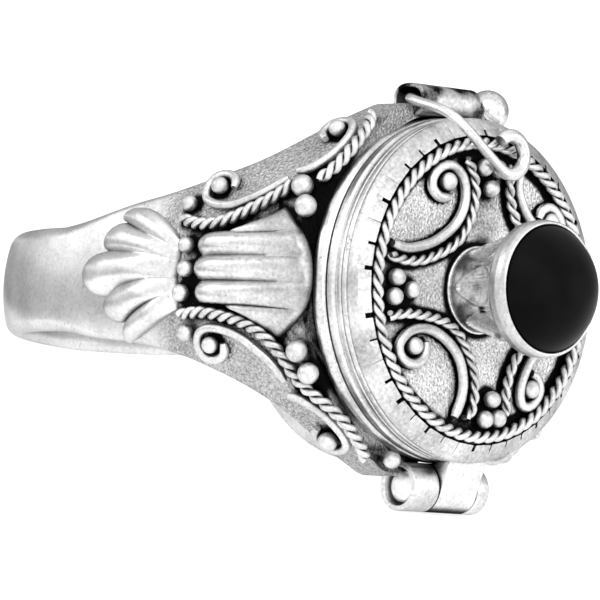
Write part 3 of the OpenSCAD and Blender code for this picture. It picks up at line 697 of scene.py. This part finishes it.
bent, bent_in = start_tree("bent_wire", {"Radius": "Float", "Tip": "Float", "Swell": "Float",
    "Finish": "Material"})
path = resampled(bent, bent_in["Geometry"], 0.12 * MM)
along = make(bent, "GeometryNodeSplineParameter").outputs["Length"]
to_end = calc(bent, "SUBTRACT", make(bent, "GeometryNodeSplineLength").outputs["Length"], along)
nearest_end = calc(bent, "MINIMUM", along, to_end)
thick = remap(bent, nearest_end, (0.0, 0.35 * MM), (bent_in["Tip"], 1.0), "SMOOTHSTEP")
curl_share = remap(bent, to_end, (3.2 * MM, 5.2 * MM), (bent_in["Swell"], 0.0), "SMOOTHSTEP")
thick = calc(bent, "MULTIPLY_ADD", thick, curl_share, thick)
path = make(bent, "GeometryNodeSetCurveRadius", {"Curve": path, "Radius": thick}).outputs[0]
end_tree(bent, swept(bent, path, bent_in["Radius"], 16, {"Scale": thick}), bent_in["Finish"])

shoulder_scroll_values = {"Radius": shoulder_scroll_r * MM, "Tip": 0.7, "Finish": wire_silver}
for side, body_side in SIDES:
    lines = [over_sheet(w, shoulder_scroll_r, side) for w in (SCROLL_1, SCROLL_2, SCROLL_3, SCROLL_4)]
    curled = grown("shoulder_scrolls_" + body_side, bent, lines, shoulder_scroll_values)
    settle(curled, "ring", "silver", "shoulder_scrolls_" + body_side)


# Shoulder granules. Small balls melted from silver and soldered in the curls of the scrolls, in a
# row between the shell and the barrel, beside the barrel, and one at the hinge corner.
# Painted shade: the occlusion greys the granules' edges.
granule_silver = silver("granule_silver", tone=0.8, roughness=0.42, reach=0.45, black_at=-0.1, full_tone_at=0.7,
    uneven=0.3)
# Each granule has its place and its radius.
SHOULDER_GRANULES = [
    (-0.4, 4.65, 0.4), (5, 8.15, 0.4), (-0.2, -3.15, 0.38), (5.05, -8.35, 0.45),
    (4.75, 4.5, 0.5), (5.3, 3.45, 0.5), (5.1, -3.4, 0.5), (5.5, -4.5, 0.48),
    (-1.75, 1.65, 0.38), (-1.65, 0.5, 0.38), (-1.9, -0.65, 0.4), (-2.15, 3.75, 0.38), (-1.75, -2.55, 0.38),
]

beads, beads_in = start_tree("granules", {"Unevenness": "Float", "Finish": "Material"})
stored = make(beads, "GeometryNodeInputNamedAttribute", {"Name": "size"}, data_type="FLOAT")
size = stored.outputs["Attribute"]
wires = {"Min": (-1.0, -1.0, -1.0), "Max": (1.0, 1.0, 1.0), "Seed": 4}
wobble = make(beads, "FunctionNodeRandomValue", wires, data_type="FLOAT_VECTOR").outputs["Value"]
wobble = vector_calc(beads, "ADD", scaled(beads, wobble, beads_in["Unevenness"]), (1.0, 1.0, 1.0))
ball = make(beads, "GeometryNodeMeshIcoSphere", {"Radius": 1.0, "Subdivisions": 5}).outputs["Mesh"]
wires = {"Points": beads_in["Geometry"], "Instance": ball, "Scale": scaled(beads, wobble, size)}
cluster = make(beads, "GeometryNodeInstanceOnPoints", wires).outputs[0]
end_tree(beads, cluster, beads_in["Finish"])
bead_values = {"Unevenness": 0.035, "Finish": granule_silver}

shank_marks = []
barrel_foot = front_barrel[0][len(front_barrel[0]) // 2:]
for side, body_side in SIDES:
    spots = [on_sheet(u, v, r - 0.04) for u, v, r in SHOULDER_GRANULES]
    sizes = [1.08 * r for u, v, r in SHOULDER_GRANULES]
    if side < 0:
        spots.append((17.85, -3.4, -8.45))
        sizes.append(0.44)
    spots = on_side(spots, side)
    granules = grown("shoulder_granules_" + body_side, beads, [[p] for p in spots], bead_values, sizes)
    settle(granules, "ring", "bright_silver", "shoulder_granules_" + body_side)
    shank_marks += [(p, r, 0.75) for p, r in zip(spots, sizes)]
    for rope in (ROPE_TOP_1, ROPE_TOP_2, ROPE_LOW):
        shank_marks += [(p, 0.3, 0.58) for p in over_sheet(rope, shoulder_rope_r, side)]
    shank_marks += [(p, 0.1, 0.45) for p in on_side(barrel_foot, side)]
rim_side = [(6.7 - 0.07 * v * v, v) for v in range(-5, 6)]
for side in (-1, 1):
    shank_marks += [(p, 0.6, 1.1) for p in over_sheet(rim_side, 0, side)]
oxide_and_shade_near(shank, shank_marks)


# Locket box. A round box of sheet silver with a heavy half-round rim, hollow for a keepsake. Two
# rolled knuckles are soldered to it below for the hinge, and a flattened tube above for the latch.
box_silver = silver("box_silver", tone=0.8, roughness=0.32, reach=0.2, black_at=-0.1, full_tone_at=0.5,
    uneven=0.4, with_oxide_and_shade=True)
box_r, box_rim_r, cavity_r = 8.4, 8.5, 7.5
box_bottom, parting_h = 10.15, 17.9
hinge_h, hinge_f, knuckle_r = 17.5, -9.7, 1.2
tube_h, tube_f, tube_y = 17.1, 9.35, (-2.45, 1.6)


def rounded(corners, radius, steps=4):
    out = []
    for i, corner in enumerate(corners):
        here, before, after = (Vector(corners[k % len(corners)]) for k in (i, i - 1, i + 1))
        if here[0] < 1e-6:
            out.append(here)
            continue
        a = here + (before - here).normalized() * min(radius, 0.45 * (before - here).length)
        b = here + (after - here).normalized() * min(radius, 0.45 * (after - here).length)
        for k in range(steps + 1):
            t = k / steps
            out.append((1 - t) ** 2 * a + 2 * t * (1 - t) * here + t * t * b)
    return out


def round_angles(steps):
    return [2 * math.pi * k / steps for k in range(steps)]


def at_angle(height, radius, angle):
    return height, radius * math.cos(angle), radius * math.sin(angle)


def head_circle(height, radius, steps):
    return [at_angle(height, radius, a) for a in round_angles(steps)]


def cross_circle(centre, radius, y, steps):
    h, f = centre
    return [(h + radius * math.cos(a), y, f + radius * math.sin(a)) for a in round_angles(steps)]


def turned(profile, edge=0.06, steps=160, longest=99.0):
    rows = []
    smoothed = rounded(profile, edge)
    for here, there in zip(smoothed, smoothed[1:] + smoothed[:1]):
        parts = math.ceil((there - here).length / longest) if here[0] + there[0] > 0 else 1
        rows += [here.lerp(there, k / parts) for k in range(parts)]
    return skin([head_circle(h, r, steps) for r, h in rows], close_rows=True)


def rolled(centre, outer, inner, span, edge=0.07):
    corners = [(inner, span[0]), (outer, span[0]), (outer, span[1]), (inner, span[1])]
    return skin([cross_circle(centre, r, y, 72) for r, y in rounded(corners, edge)], close_rows=True)


def slab(outline, span, edge=0.06):
    off_axis = 50
    loop = [(x - off_axis, y) for x, y in rounded([(x + off_axis, y) for x, y in outline], 0.08)]
    middle = Vector((sum(p[0] for p in loop), sum(p[1] for p in loop))) / len(loop)
    inward = [(middle - Vector(p)).normalized() for p in loop]
    rows = []
    for y, inset in ((span[0], edge), (span[0] + edge * 0.3, edge * 0.3), (span[0] + edge, 0),
            (span[1] - edge, 0), (span[1] - edge * 0.3, edge * 0.3), (span[1], edge)):
        rows.append([(p[0] + way[0] * inset, y, p[1] + way[1] * inset) for p, way in zip(loop, inward)])
    return capped(rows)


def oval_tube(centre, size, wall, span):
    squareness, squeeze = 2.5, 0.97
    rows = []
    for y, thin in ((span[0], 0.05), (span[0] + 0.05, 0), (span[1] - 0.05, 0), (span[1], 0.05),
            (span[1], wall - 0.04), (span[1] - 0.04, wall), (span[0] + 0.04, wall), (span[0], wall - 0.04)):
        row = []
        for a in round_angles(96):
            c, s = math.cos(a), math.sin(a)
            square = (abs(c) ** squareness + abs(s) ** squareness) ** (-1 / squareness) * squeeze
            up, across = (size[0] - thin) * square, (size[1] - thin) * square
            row.append((centre[0] + up * c, y, centre[1] + across * s))
        rows.append(row)
    return skin(rows, close_rows=True)


box_shell = turned([
    (0, box_bottom), (box_r - 1.8, box_bottom), (box_r, box_bottom + 1.8), (box_r, parting_h - 0.85),
    (box_rim_r - 0.02, parting_h - 0.78), (box_rim_r, parting_h - 0.4), (box_rim_r, parting_h),
    (cavity_r, parting_h), (cavity_r, box_bottom + 2.3), (6.2, box_bottom + 1), (0, box_bottom + 1),
], 0.12)
box_parts = [box_shell, rolled((hinge_h, hinge_f), knuckle_r, 0.94, (-2.6, -0.87)),
    rolled((hinge_h, hinge_f), knuckle_r, 0.94, (1.81, 2.6)),
    oval_tube((tube_h, tube_f - 0.12), (1.1, 0.88), 0.2, tube_y)]
knuckle_seat = [(16.3, -9.2), (17.2, -8.9), (17.2, -7.9), (16.3, -7.9)]
tube_seat = [(16.1, 8.1), (17.0, 8.1), (17.0, 8.75), (16.1, 8.75)]
tube_strap = [(15.3, 8.05), (15.4, 7.9), (17.3, 8.6), (17.2, 8.8)]
box_parts += [slab(knuckle_seat, span) for span in ((-2.55, -0.9), (1.84, 2.55))]
box_parts += [slab(tube_seat, (-2.1, 1.45)), slab(tube_strap, (-2.44, 1.3), 0.03)]
bead_h, bead_r, bead_half = 17.5, 8.42, 0.37
rim_bead = []
for b in round_angles(20):
    row = []
    for a in round_angles(160):
        swell = 0.08 + 0.2 * ease((abs(math.cos(a)) - 0.35) / 0.4)
        row.append(at_angle(bead_h + bead_half * math.sin(b), bead_r + swell * math.cos(b), a))
    rim_bead.append(row)
box_parts.append(skin(rim_bead, close_rows=True))
box = solid("locket_box", box_parts, box_silver)
# Painted shade: the box is darkened in and round the latch tube and at the foot of the hinge knuckles. It is
# also darkened in a ring round its wall below the rim bead.
box_marks = [((tube_h + 0.25, y, tube_f + 0.2), 0.65, 1.25, 1.3) for y in (-2.0, -1.2, -0.5, 0.2, 0.9)]
box_marks += [((tube_h + 0.9, 1.5, tube_f - 0.2), 0.3, 0.8, 1.0),
    ((tube_h + 1.0, 0.9, tube_f - 0.75), 0.2, 0.8, 1.0)]
box_marks += [((17.2, y, -8.5), 0.25, 0.7, 1.0) for y in (-2.4, -1.9, -1.4, -0.9, -0.4, 1.9, 2.4)]
box_marks += [(p, 0.35, 0.35, 1.2) for p in head_circle(16.5, 8.4, 240)]
oxide_and_shade_near(box, box_marks)
settle(box, "ring", "silver", "locket_box")


# Hinge pin. A thick bright pin through the three knuckles, its ends filed flat just inside them.
pin_silver = silver("pin_silver", tone=0.95, roughness=0.3, reach=0.12, black_at=-0.2, full_tone_at=0.4)
pin_end, pin_r = 2.35, 0.8
pin_rows = [cross_circle((hinge_h, hinge_f), r, y, 48) for y, r in (
    (-pin_end, 0.0), (-pin_end, pin_r - 0.18), (0.05 - pin_end, pin_r - 0.06), (0.15 - pin_end, pin_r),
    (pin_end - 0.15, pin_r), (pin_end - 0.05, pin_r - 0.06), (pin_end, pin_r - 0.18), (pin_end, 0.0))]
settle(solid("hinge_pin", [skin(pin_rows)], pin_silver), "ring", "bright_silver", "hinge_pin")


# Lid. A shallow cap turned up at its edge: a roll at the foot, a groove above it, a plain wall and
# a flat, sand-textured top. A strap goes down from the wall to the middle knuckle of the hinge.
lid_silver = silver("lid_silver", tone=0.92, roughness=0.32, reach=0.8, black_at=0.3, full_tone_at=0.85,
    uneven=0.35, ground=(19.3, 19.6, 1.0))
lid_bottom, lid_top, lid_edge_h = 17.98, 19.9, 19.3
lid_wall_r, lid_hollow_r = 8.47, 7.6
lid_shell = turned([
    (0, lid_top - 0.7), (lid_hollow_r, lid_top - 0.7), (lid_hollow_r, lid_bottom),
    (lid_wall_r - 0.06, lid_bottom),
    (lid_wall_r, lid_bottom + 0.1), (lid_wall_r, lid_bottom + 0.4), (lid_wall_r - 0.06, lid_bottom + 0.5),
    (lid_wall_r - 0.16, lid_bottom + 0.56), (lid_wall_r - 0.16, lid_bottom + 0.64),
    (lid_wall_r - 0.05, lid_bottom + 0.7), (lid_wall_r - 0.02, lid_bottom + 0.95),
    (lid_wall_r - 0.1, lid_bottom + 0.99), (lid_wall_r - 0.1, lid_bottom + 1.02),
    (lid_wall_r - 0.02, lid_bottom + 1.07), (lid_wall_r - 0.02, lid_edge_h), (lid_hollow_r, lid_top - 0.05),
    (7.5, lid_top), (0, lid_top),
], 0.04, 220, 0.2)
strap_side = (-0.8, 1.75)
axle = Vector((hinge_h, hinge_f))
strap_root = Vector((lid_edge_h, -lid_wall_r + 0.2))
reach = (strap_root - axle).length
tangent = math.atan2(strap_root[1] - axle[1], strap_root[0] - axle[0]) - math.acos(knuckle_r / reach)
touch = axle + knuckle_r * Vector((math.cos(tangent), math.sin(tangent)))
inner_touch = axle + 0.9 * Vector((math.cos(tangent + 0.25), math.sin(tangent + 0.25)))
strap = slab([tuple(strap_root), tuple(touch), tuple(inner_touch), (lid_bottom + 0.2, -8.95),
    (lid_bottom + 0.2, -8.1), (lid_edge_h - 0.2, -8.1)], strap_side, 0.05)
lid_knuckle = rolled((hinge_h, hinge_f), knuckle_r, 0.9, strap_side, 0.05)
lid = solid("lid", [lid_shell, strap, lid_knuckle], lid_silver)
settle(lid, "lid", "silver", "lid")


# Toothed rim. A sloping strip round the lid's edge, notched with a saw from its inner side into
# forty-two blocks. The notches are narrow, uneven and black.
teeth_count = 42
rim_silver = silver("rim_silver", tone=0.7, roughness=0.38, reach=0.4, black_at=0.2, full_tone_at=0.8,
    uneven=0.5, with_oxide_and_shade=True)
rim_strip = turned([
    (7.52, lid_top + 0.01), (8.4, lid_edge_h + 0.02), (8.44, lid_edge_h + 0.1), (8.44, lid_edge_h + 0.22),
    (8.36, lid_edge_h + 0.34), (8.2, lid_edge_h + 0.5), (7.88, lid_edge_h + 0.69), (7.86, lid_edge_h + 0.4),
    (7.52, lid_top + 0.05),
], 0.03, 220, 0.1)
strip = solid("rim_strip", [rim_strip], rim_silver)
oxide_and_shade_near(strip, [(p, 0.35, 0.1) for p in head_circle(lid_top - 0.3, 7.66, 400)])
settle(strip, "lid", "silver", "toothed_rim")

copies, copies_in = start_tree("turned_copies", {"Count": "Int", "Axis": "Vector", "Unevenness": "Float",
    "Finish": "Material"})
spots = make(copies, "GeometryNodePoints", {"Count": copies_in["Count"]}).outputs[0]
number = make(copies, "GeometryNodeInputIndex").outputs[0]
step = calc(copies, "DIVIDE", 2 * math.pi, copies_in["Count"])
jolt = make(copies, "FunctionNodeRandomValue", {2: -1.0, 3: 1.0, "Seed": 7}, data_type="FLOAT").outputs[1]
angle = calc(copies, "MULTIPLY_ADD", jolt, copies_in["Unevenness"], calc(copies, "MULTIPLY", number, step))
turn = make(copies, "FunctionNodeAxisAngleToRotation", {"Axis": copies_in["Axis"], "Angle": angle}).outputs[0]
wires = {"Points": spots, "Instance": copies_in["Geometry"], "Rotation": turn}
ring_of = make(copies, "GeometryNodeInstanceOnPoints", wires).outputs[0]
end_tree(copies, ring_of, copies_in["Finish"], rounded_off=False)


def all_round(name, shell, finish, count, uneven):
    one = solid(name, [shell], finish)
    start = one.data
    bpy.data.objects.remove(one)
    return grow(name, copies, start,
        {"Count": count, "Axis": HEAD_AXIS, "Unevenness": uneven, "Finish": finish})


tooth_half = math.pi / teeth_count * 0.91
tooth_rows = []
for end, inset, back_off in ((-1, 0.05, 0), (-1, 0.015, 0.0015), (-1, 0, 0.006), (1, 0, 0.006),
        (1, 0.015, 0.0015), (1, 0.05, 0)):
    turn_at = end * (tooth_half - back_off)
    loop = rounded([(7.54 + inset, lid_top + 0.04), (7.58 + inset, lid_top + 0.3 - inset),
        (8.2, lid_edge_h + 0.53 - inset), (8.2, lid_edge_h + 0.3)], 0.05)
    tooth_rows.append([at_angle(h, r, turn_at) for r, h in loop])
teeth = all_round("toothed_rim", capped(tooth_rows), rim_silver, teeth_count, 0.012)
settle(teeth, "lid", "silver", "toothed_rim")


# Rope ring. Two thicker wires twisted slackly and closed to a ring inside the teeth.
rope_ring_r, rope_ring_wire = 7.18, 0.3
ring_line = head_circle(lid_top + rope_ring_wire, rope_ring_r, 120)
ring_line.append(ring_line[0])
rope_ring_values = {"Radius": rope_ring_wire * MM, "Pitch": 1.33 * MM, "Finish": wire_silver}
settle(grown("rope_ring", twist, [ring_line], rope_ring_values), "lid", "silver", "rope_ring")


# Lid ropes and scrolls. Each quarter of the lid has an arch of thin twisted wire and, inside it, a
# plain wire that curls round a granule. Both were bent by hand, so no two quarters are the same.
ROPE_A = [
    (6.4, 1.3), (5.8, 1.15), (5, 1.1), (4.1, 1.2), (3.2, 1.5), (2.4, 1.85), (1.7, 2.3), (1.2, 2.9),
    (0.85, 3.6), (0.65, 4.4), (0.65, 5.1), (0.9, 5.8), (1.3, 6.3),
]
SCROLL_A = [
    (6.2, 1.85), (5.3, 1.7), (4.5, 1.8), (3.6, 2.05), (2.8, 2.45), (2.1, 2.95), (1.6, 3.55),
    (1.35, 4.2), (1.35, 4.9), (1.6, 5.5), (2.2, 5.9), (2.8, 5.9), (3.35, 5.6), (3.65, 5.15),
    (3.6, 4.7), (3.1, 4.35), (2.4, 4.35),
]
ROPE_B = [
    (6.3, 0.75), (5.9, 0.35), (5.2, 0.2), (4.5, 0.2), (3.9, 0.35), (3.3, 0.65), (2.8, 1), (2.2, 1.5),
    (1.8, 2.2), (1.6, 3), (1.5, 3.9), (1.45, 4.7), (1.5, 5.4), (1.65, 6.2),
]
SCROLL_B = [
    (6.3, 1.55), (5.5, 1.15), (4.8, 1), (4.2, 1.05), (3.6, 1.25), (3, 1.7), (2.5, 2.4), (2.2, 3.1),
    (2.1, 3.8), (2.2, 4.5), (2.5, 5.1), (3, 5.5), (3.5, 5.4), (3.8, 4.95), (3.85, 4.4), (3.6, 3.9),
    (3.1, 3.65), (2.75, 3.7),
]
ROPE_C = [
    (6.2, 1.9), (5.3, 1.75), (4.4, 1.9), (3.6, 2.3), (2.9, 2.9), (2.4, 3.6), (2.1, 4.4), (2, 5.2), (2.15, 6),
]
SCROLL_C = [
    (6, 2.5), (5.2, 2.4), (4.4, 2.7), (3.7, 3.25), (3.2, 4.1), (3, 4.9), (3.2, 5.45), (3.7, 5.5), (4.2, 5.1),
    (4.4, 4.6), (4.2, 4.1), (3.8, 3.9),
]
# Each quarter has its rope, its scroll and the eye that the scroll curls round.
QUARTERS = [(ROPE_A, SCROLL_A, (2.65, 5.12)), (ROPE_B, SCROLL_B, (3, 4.55)),
    (ROPE_C, SCROLL_C, (3.7, 4.65)), (ROPE_C, SCROLL_C, (3.7, 4.65))]
lid_rope_r, lid_scroll_r = 0.26, 0.25


def over_lid(points, quarter, height):
    c, s = math.cos(math.pi / 2 * quarter), math.sin(math.pi / 2 * quarter)
    return [(lid_top + height, -x * c - f * s, f * c - x * s) for x, f in points]


lid_ropes, lid_scrolls = [], []
for q, (rope, scroll, eye) in enumerate(QUARTERS):
    lid_ropes.append(over_lid(smooth(rope, 5), q, lid_rope_r))
    lid_scrolls.append(over_lid(smooth(scroll, 5), q, lid_scroll_r))
lid_rope_values = {"Radius": lid_rope_r * MM, "Pitch": 1.3 * MM, "Finish": wire_silver}
settle(grown("lid_scroll_ropes", twist, lid_ropes, lid_rope_values), "lid", "silver", "lid_scroll_ropes")
lid_scroll_values = {"Radius": lid_scroll_r * MM, "Tip": 0.75, "Finish": wire_silver}
settle(grown("lid_scrolls", bent, lid_scrolls, lid_scroll_values), "lid", "silver", "lid_scrolls")


# Lid granules. One in the eye of each scroll, and three together between two quarters.
LID_GRANULES = [
    (5.93, 0.24), (4.85, -0.3), (6.05, -0.7), (-0.95, -5.3), (-0.5, -6.3), (-1.4, -6.2),
    (0.15, 6), (-0.8, 6), (-0.35, 5), (-5.9, 0.5), (-5.9, -0.5), (-4.9, 0),
]
lid_granule_r = 0.43
bead_spots = over_lid(LID_GRANULES, 0, lid_granule_r - 0.06)
for q, (rope, scroll, eye) in enumerate(QUARTERS):
    bead_spots += over_lid([eye], q, lid_granule_r - 0.06)
bead_sizes = [lid_granule_r] * len(bead_spots)
lid_granules = grown("lid_granules", beads, [[p] for p in bead_spots], bead_values, bead_sizes)
settle(lid_granules, "lid", "bright_silver", "lid_granules")

lid_marks = [(p, lid_granule_r, 0.6) for p in bead_spots]
lid_marks += [(p, 0.15, 0.35) for p in head_circle(lid_top, 6.95, 240)]
lid_marks += [(p, 0.1, 0.25) for p in head_circle(lid_top, 2.1, 90)]
for q, (rope, scroll, eye) in enumerate(QUARTERS):
    lid_marks += [(p, 0.2, 0.48) for p in over_lid(smooth(rope, 8), q, 0.1)]
    lid_marks += [(p, 0.2, 0.12) for p in over_lid(smooth(scroll, 8), q, 0.1)]
lid_marks += [(p, 0.4, 1.1, 0.42) for p in over_lid([(-0.35, 4.0), (-0.4, 3.2)], 0, 0)]
oxide_and_shade_near(lid, lid_marks)


# Collar. A flared cone of sheet under the stone, chased with leaves: a thin raised outline round a
# hollow, black-patched middle. A fine bright wire runs round its foot.
collar_silver = silver("collar_silver", tone=1.0, roughness=0.34, reach=0.45, black_at=0.15, full_tone_at=0.72,
    uneven=0.6, with_oxide_and_shade=True)
collar_foot_r, collar_top_r = 2.05, 3.0
collar_low, collar_high = lid_top + 0.02, 23.7
leaf_count, collar_steps, collar_rings = 7, 420, 40
collar_rows = []
for i in range(collar_rings + 1):
    t = i / collar_rings
    height = collar_low + (collar_high - collar_low) * t
    flare = collar_foot_r + (collar_top_r - 0.12 - collar_foot_r) * (0.55 * t + 0.45 * t * t)
    row = []
    for a in round_angles(collar_steps):
        swing = (a * leaf_count / (2 * math.pi)) % 1 - 0.5
        reach_out = math.hypot(swing / (0.43 * (0.45 + 0.75 * t)), (t - 0.58) / 0.38)
        hollow = -0.2 * (1 - reach_out ** 2) if reach_out < 1 else 0
        outline = 0.1 * math.exp(-((reach_out - 1.02) / 0.08) ** 2)
        between_leaves = ease((reach_out - 1.15) / 0.1) * ease((t - 0.4) / 0.1)
        rib = 0.13 * max(0, math.cos(a * leaf_count * 7)) * between_leaves
        vein = 0.04 * math.cos(swing * 75) * (1 - reach_out) if reach_out < 1 else 0
        ticks = 0.05 * max(0, math.cos(a * 56)) * ease((t - 0.86) / 0.08)
        row.append(at_angle(height, flare + hollow + outline + (ticks + rib + vein), a))
    collar_rows.append(row)
for height, inner in ((collar_rows[-1][0][0], 2.5), (collar_low, 1.55)):
    collar_rows.append(head_circle(height, inner, collar_steps))
wire_r = 0.1
foot_wire = []
for b in round_angles(10):
    height, r = lid_top + 0.07 + wire_r * math.sin(b), collar_foot_r + 0.02 + wire_r * math.cos(b)
    foot_wire.append(head_circle(height, r, 96))
collar_shells = [skin(collar_rows, close_rows=True), skin(foot_wire, close_rows=True)]
collar = solid("collar", collar_shells, collar_silver, 60)
collar_marks = []
for k, a in enumerate(round_angles(34)):
    a += 0.12 * math.sin(5 * k)
    t = (k * 7 % 11) / 11
    r = collar_foot_r + (collar_top_r - collar_foot_r) * t * t
    collar_marks.append((at_angle(20.5 + 2.8 * t, r, a), 0.12, 0.4, 0.5))
for a in round_angles(leaf_count):
    collar_marks.append((at_angle(22.1, 2.25, a + math.pi / leaf_count), 0.1, 1.0))
    collar_marks.append((at_angle(20.6, 2.15, a), 0.1, 0.8))
oxide_and_shade_near(collar, collar_marks, 0.3)
settle(collar, "lid", "dark_silver", "collar")


# Bezel. A plain bright cup rubbed over the stone's edge to a thin lip, on a finely nicked seat.
bezel_silver = silver("bezel_silver", tone=0.78, roughness=0.3, reach=0.4, black_at=0.08, full_tone_at=0.6,
    uneven=0.3)
lip_h, stone_r, bezel_r = 24.9, 3.05, 3.35
bezel_low = lip_h - 1.15
bezel_shell = turned([
    (0, bezel_low), (bezel_r - 0.14, bezel_low), (bezel_r - 0.04, bezel_low + 0.18),
    (bezel_r, bezel_low + 0.55), (bezel_r - 0.02, lip_h - 0.25), (bezel_r - 0.1, lip_h - 0.02),
    (bezel_r - 0.19, lip_h), (stone_r + 0.04, lip_h - 0.05), (stone_r + 0.04, bezel_low + 0.4),
    (0, bezel_low + 0.4),
], 0.05, 200)
settle(solid("bezel", [bezel_shell], bezel_silver), "lid", "bright_silver", "bezel")


# Stone. A round black onyx cabochon, domed, with a satin polish.
onyx_black, tree, shader = new_finish("onyx")
cloud = noise(tree, 500, 5)
wire(tree, shader, {"Base Color": ramp(tree, cloud, [(0.3, 0.0008), (0.75, 0.004)]), "IOR": 1.54,
    "Roughness": remap(tree, cloud, (0, 1), (0.34, 0.46)), "Specular IOR Level": 0.05})
dome_h, dome_rings = 1.85, 28
cap_r = (stone_r ** 2 + dome_h ** 2) / (2 * dome_h)
half_angle = math.asin(stone_r / cap_r)
dome = []
for k in range(dome_rings + 1):
    a = half_angle * k / dome_rings
    dome.append((cap_r * math.sin(a), lip_h + dome_h - cap_r + cap_r * math.cos(a)))
stone_profile = [(0, bezel_low + 0.5), (stone_r - 0.05, bezel_low + 0.5)] + dome[:0:-1] + [dome[0]]
settle(solid("onyx_stone", [turned(stone_profile, 0.002, 128)], onyx_black), "lid", "onyx", "onyx_stone")


# Latch wire. A round wire through the tube that steps up past the lid's edge, crosses the lid and
# ends in an open curl.
latch_silver = silver("latch_silver", tone=0.84, roughness=0.28, reach=0.4, black_at=0.05, full_tone_at=0.7,
    uneven=0.25)
latch_wire_r = 0.25
ball_spot = (tube_h + 0.05, 3.1, tube_f - 0.2)
WIRE_RISE = [
    (17.15, -1.7, 9.32), (17.25, -2.25, 9.32), (17.4, -2.62, 9.3), (17.8, -2.84, 9.2), (18.6, -2.92, 8.98),
    (19.5, -2.92, 8.75), (20.3, -2.88, 8.45), (20.8, -2.7, 8.1), (21.05, -2.15, 7.6), (21.1, -1, 6.73),
]
curl = [(21.1, 0.75 + 0.95 * math.cos(a), 6.65 + 0.95 * math.sin(a))
    for a in (math.radians(-127 + 265 * k / 14) for k in range(15))]
shaft = [(tube_h, 2.9, tube_f), (tube_h, 1.0, tube_f), (tube_h, -0.8, tube_f)]
latch_values = {"Radius": latch_wire_r * MM, "Tip": 0.9, "Swell": 0.4, "Finish": latch_silver}
latch_wire = grown("latch_wire", bent, [smooth(shaft + WIRE_RISE + curl, 5)], latch_values)
settle(latch_wire, "latch", "bright_silver", "latch_wire")


# Latch ball. A ball melted on the back end of the same wire keeps it in the tube.
# Painted shade: the ball's silver is darker than the latch wire's, though both are one wire.
ball_silver = silver("ball_silver", tone=0.74, roughness=0.24, reach=0.6, black_at=0.05, full_tone_at=0.85,
    uneven=0.45)
ball_r = 1.06
latch_ball = grown("latch_ball", beads, [[ball_spot]], {"Unevenness": 0.0, "Finish": ball_silver}, [ball_r])
settle(latch_ball, "latch", "bright_silver", "latch_ball")
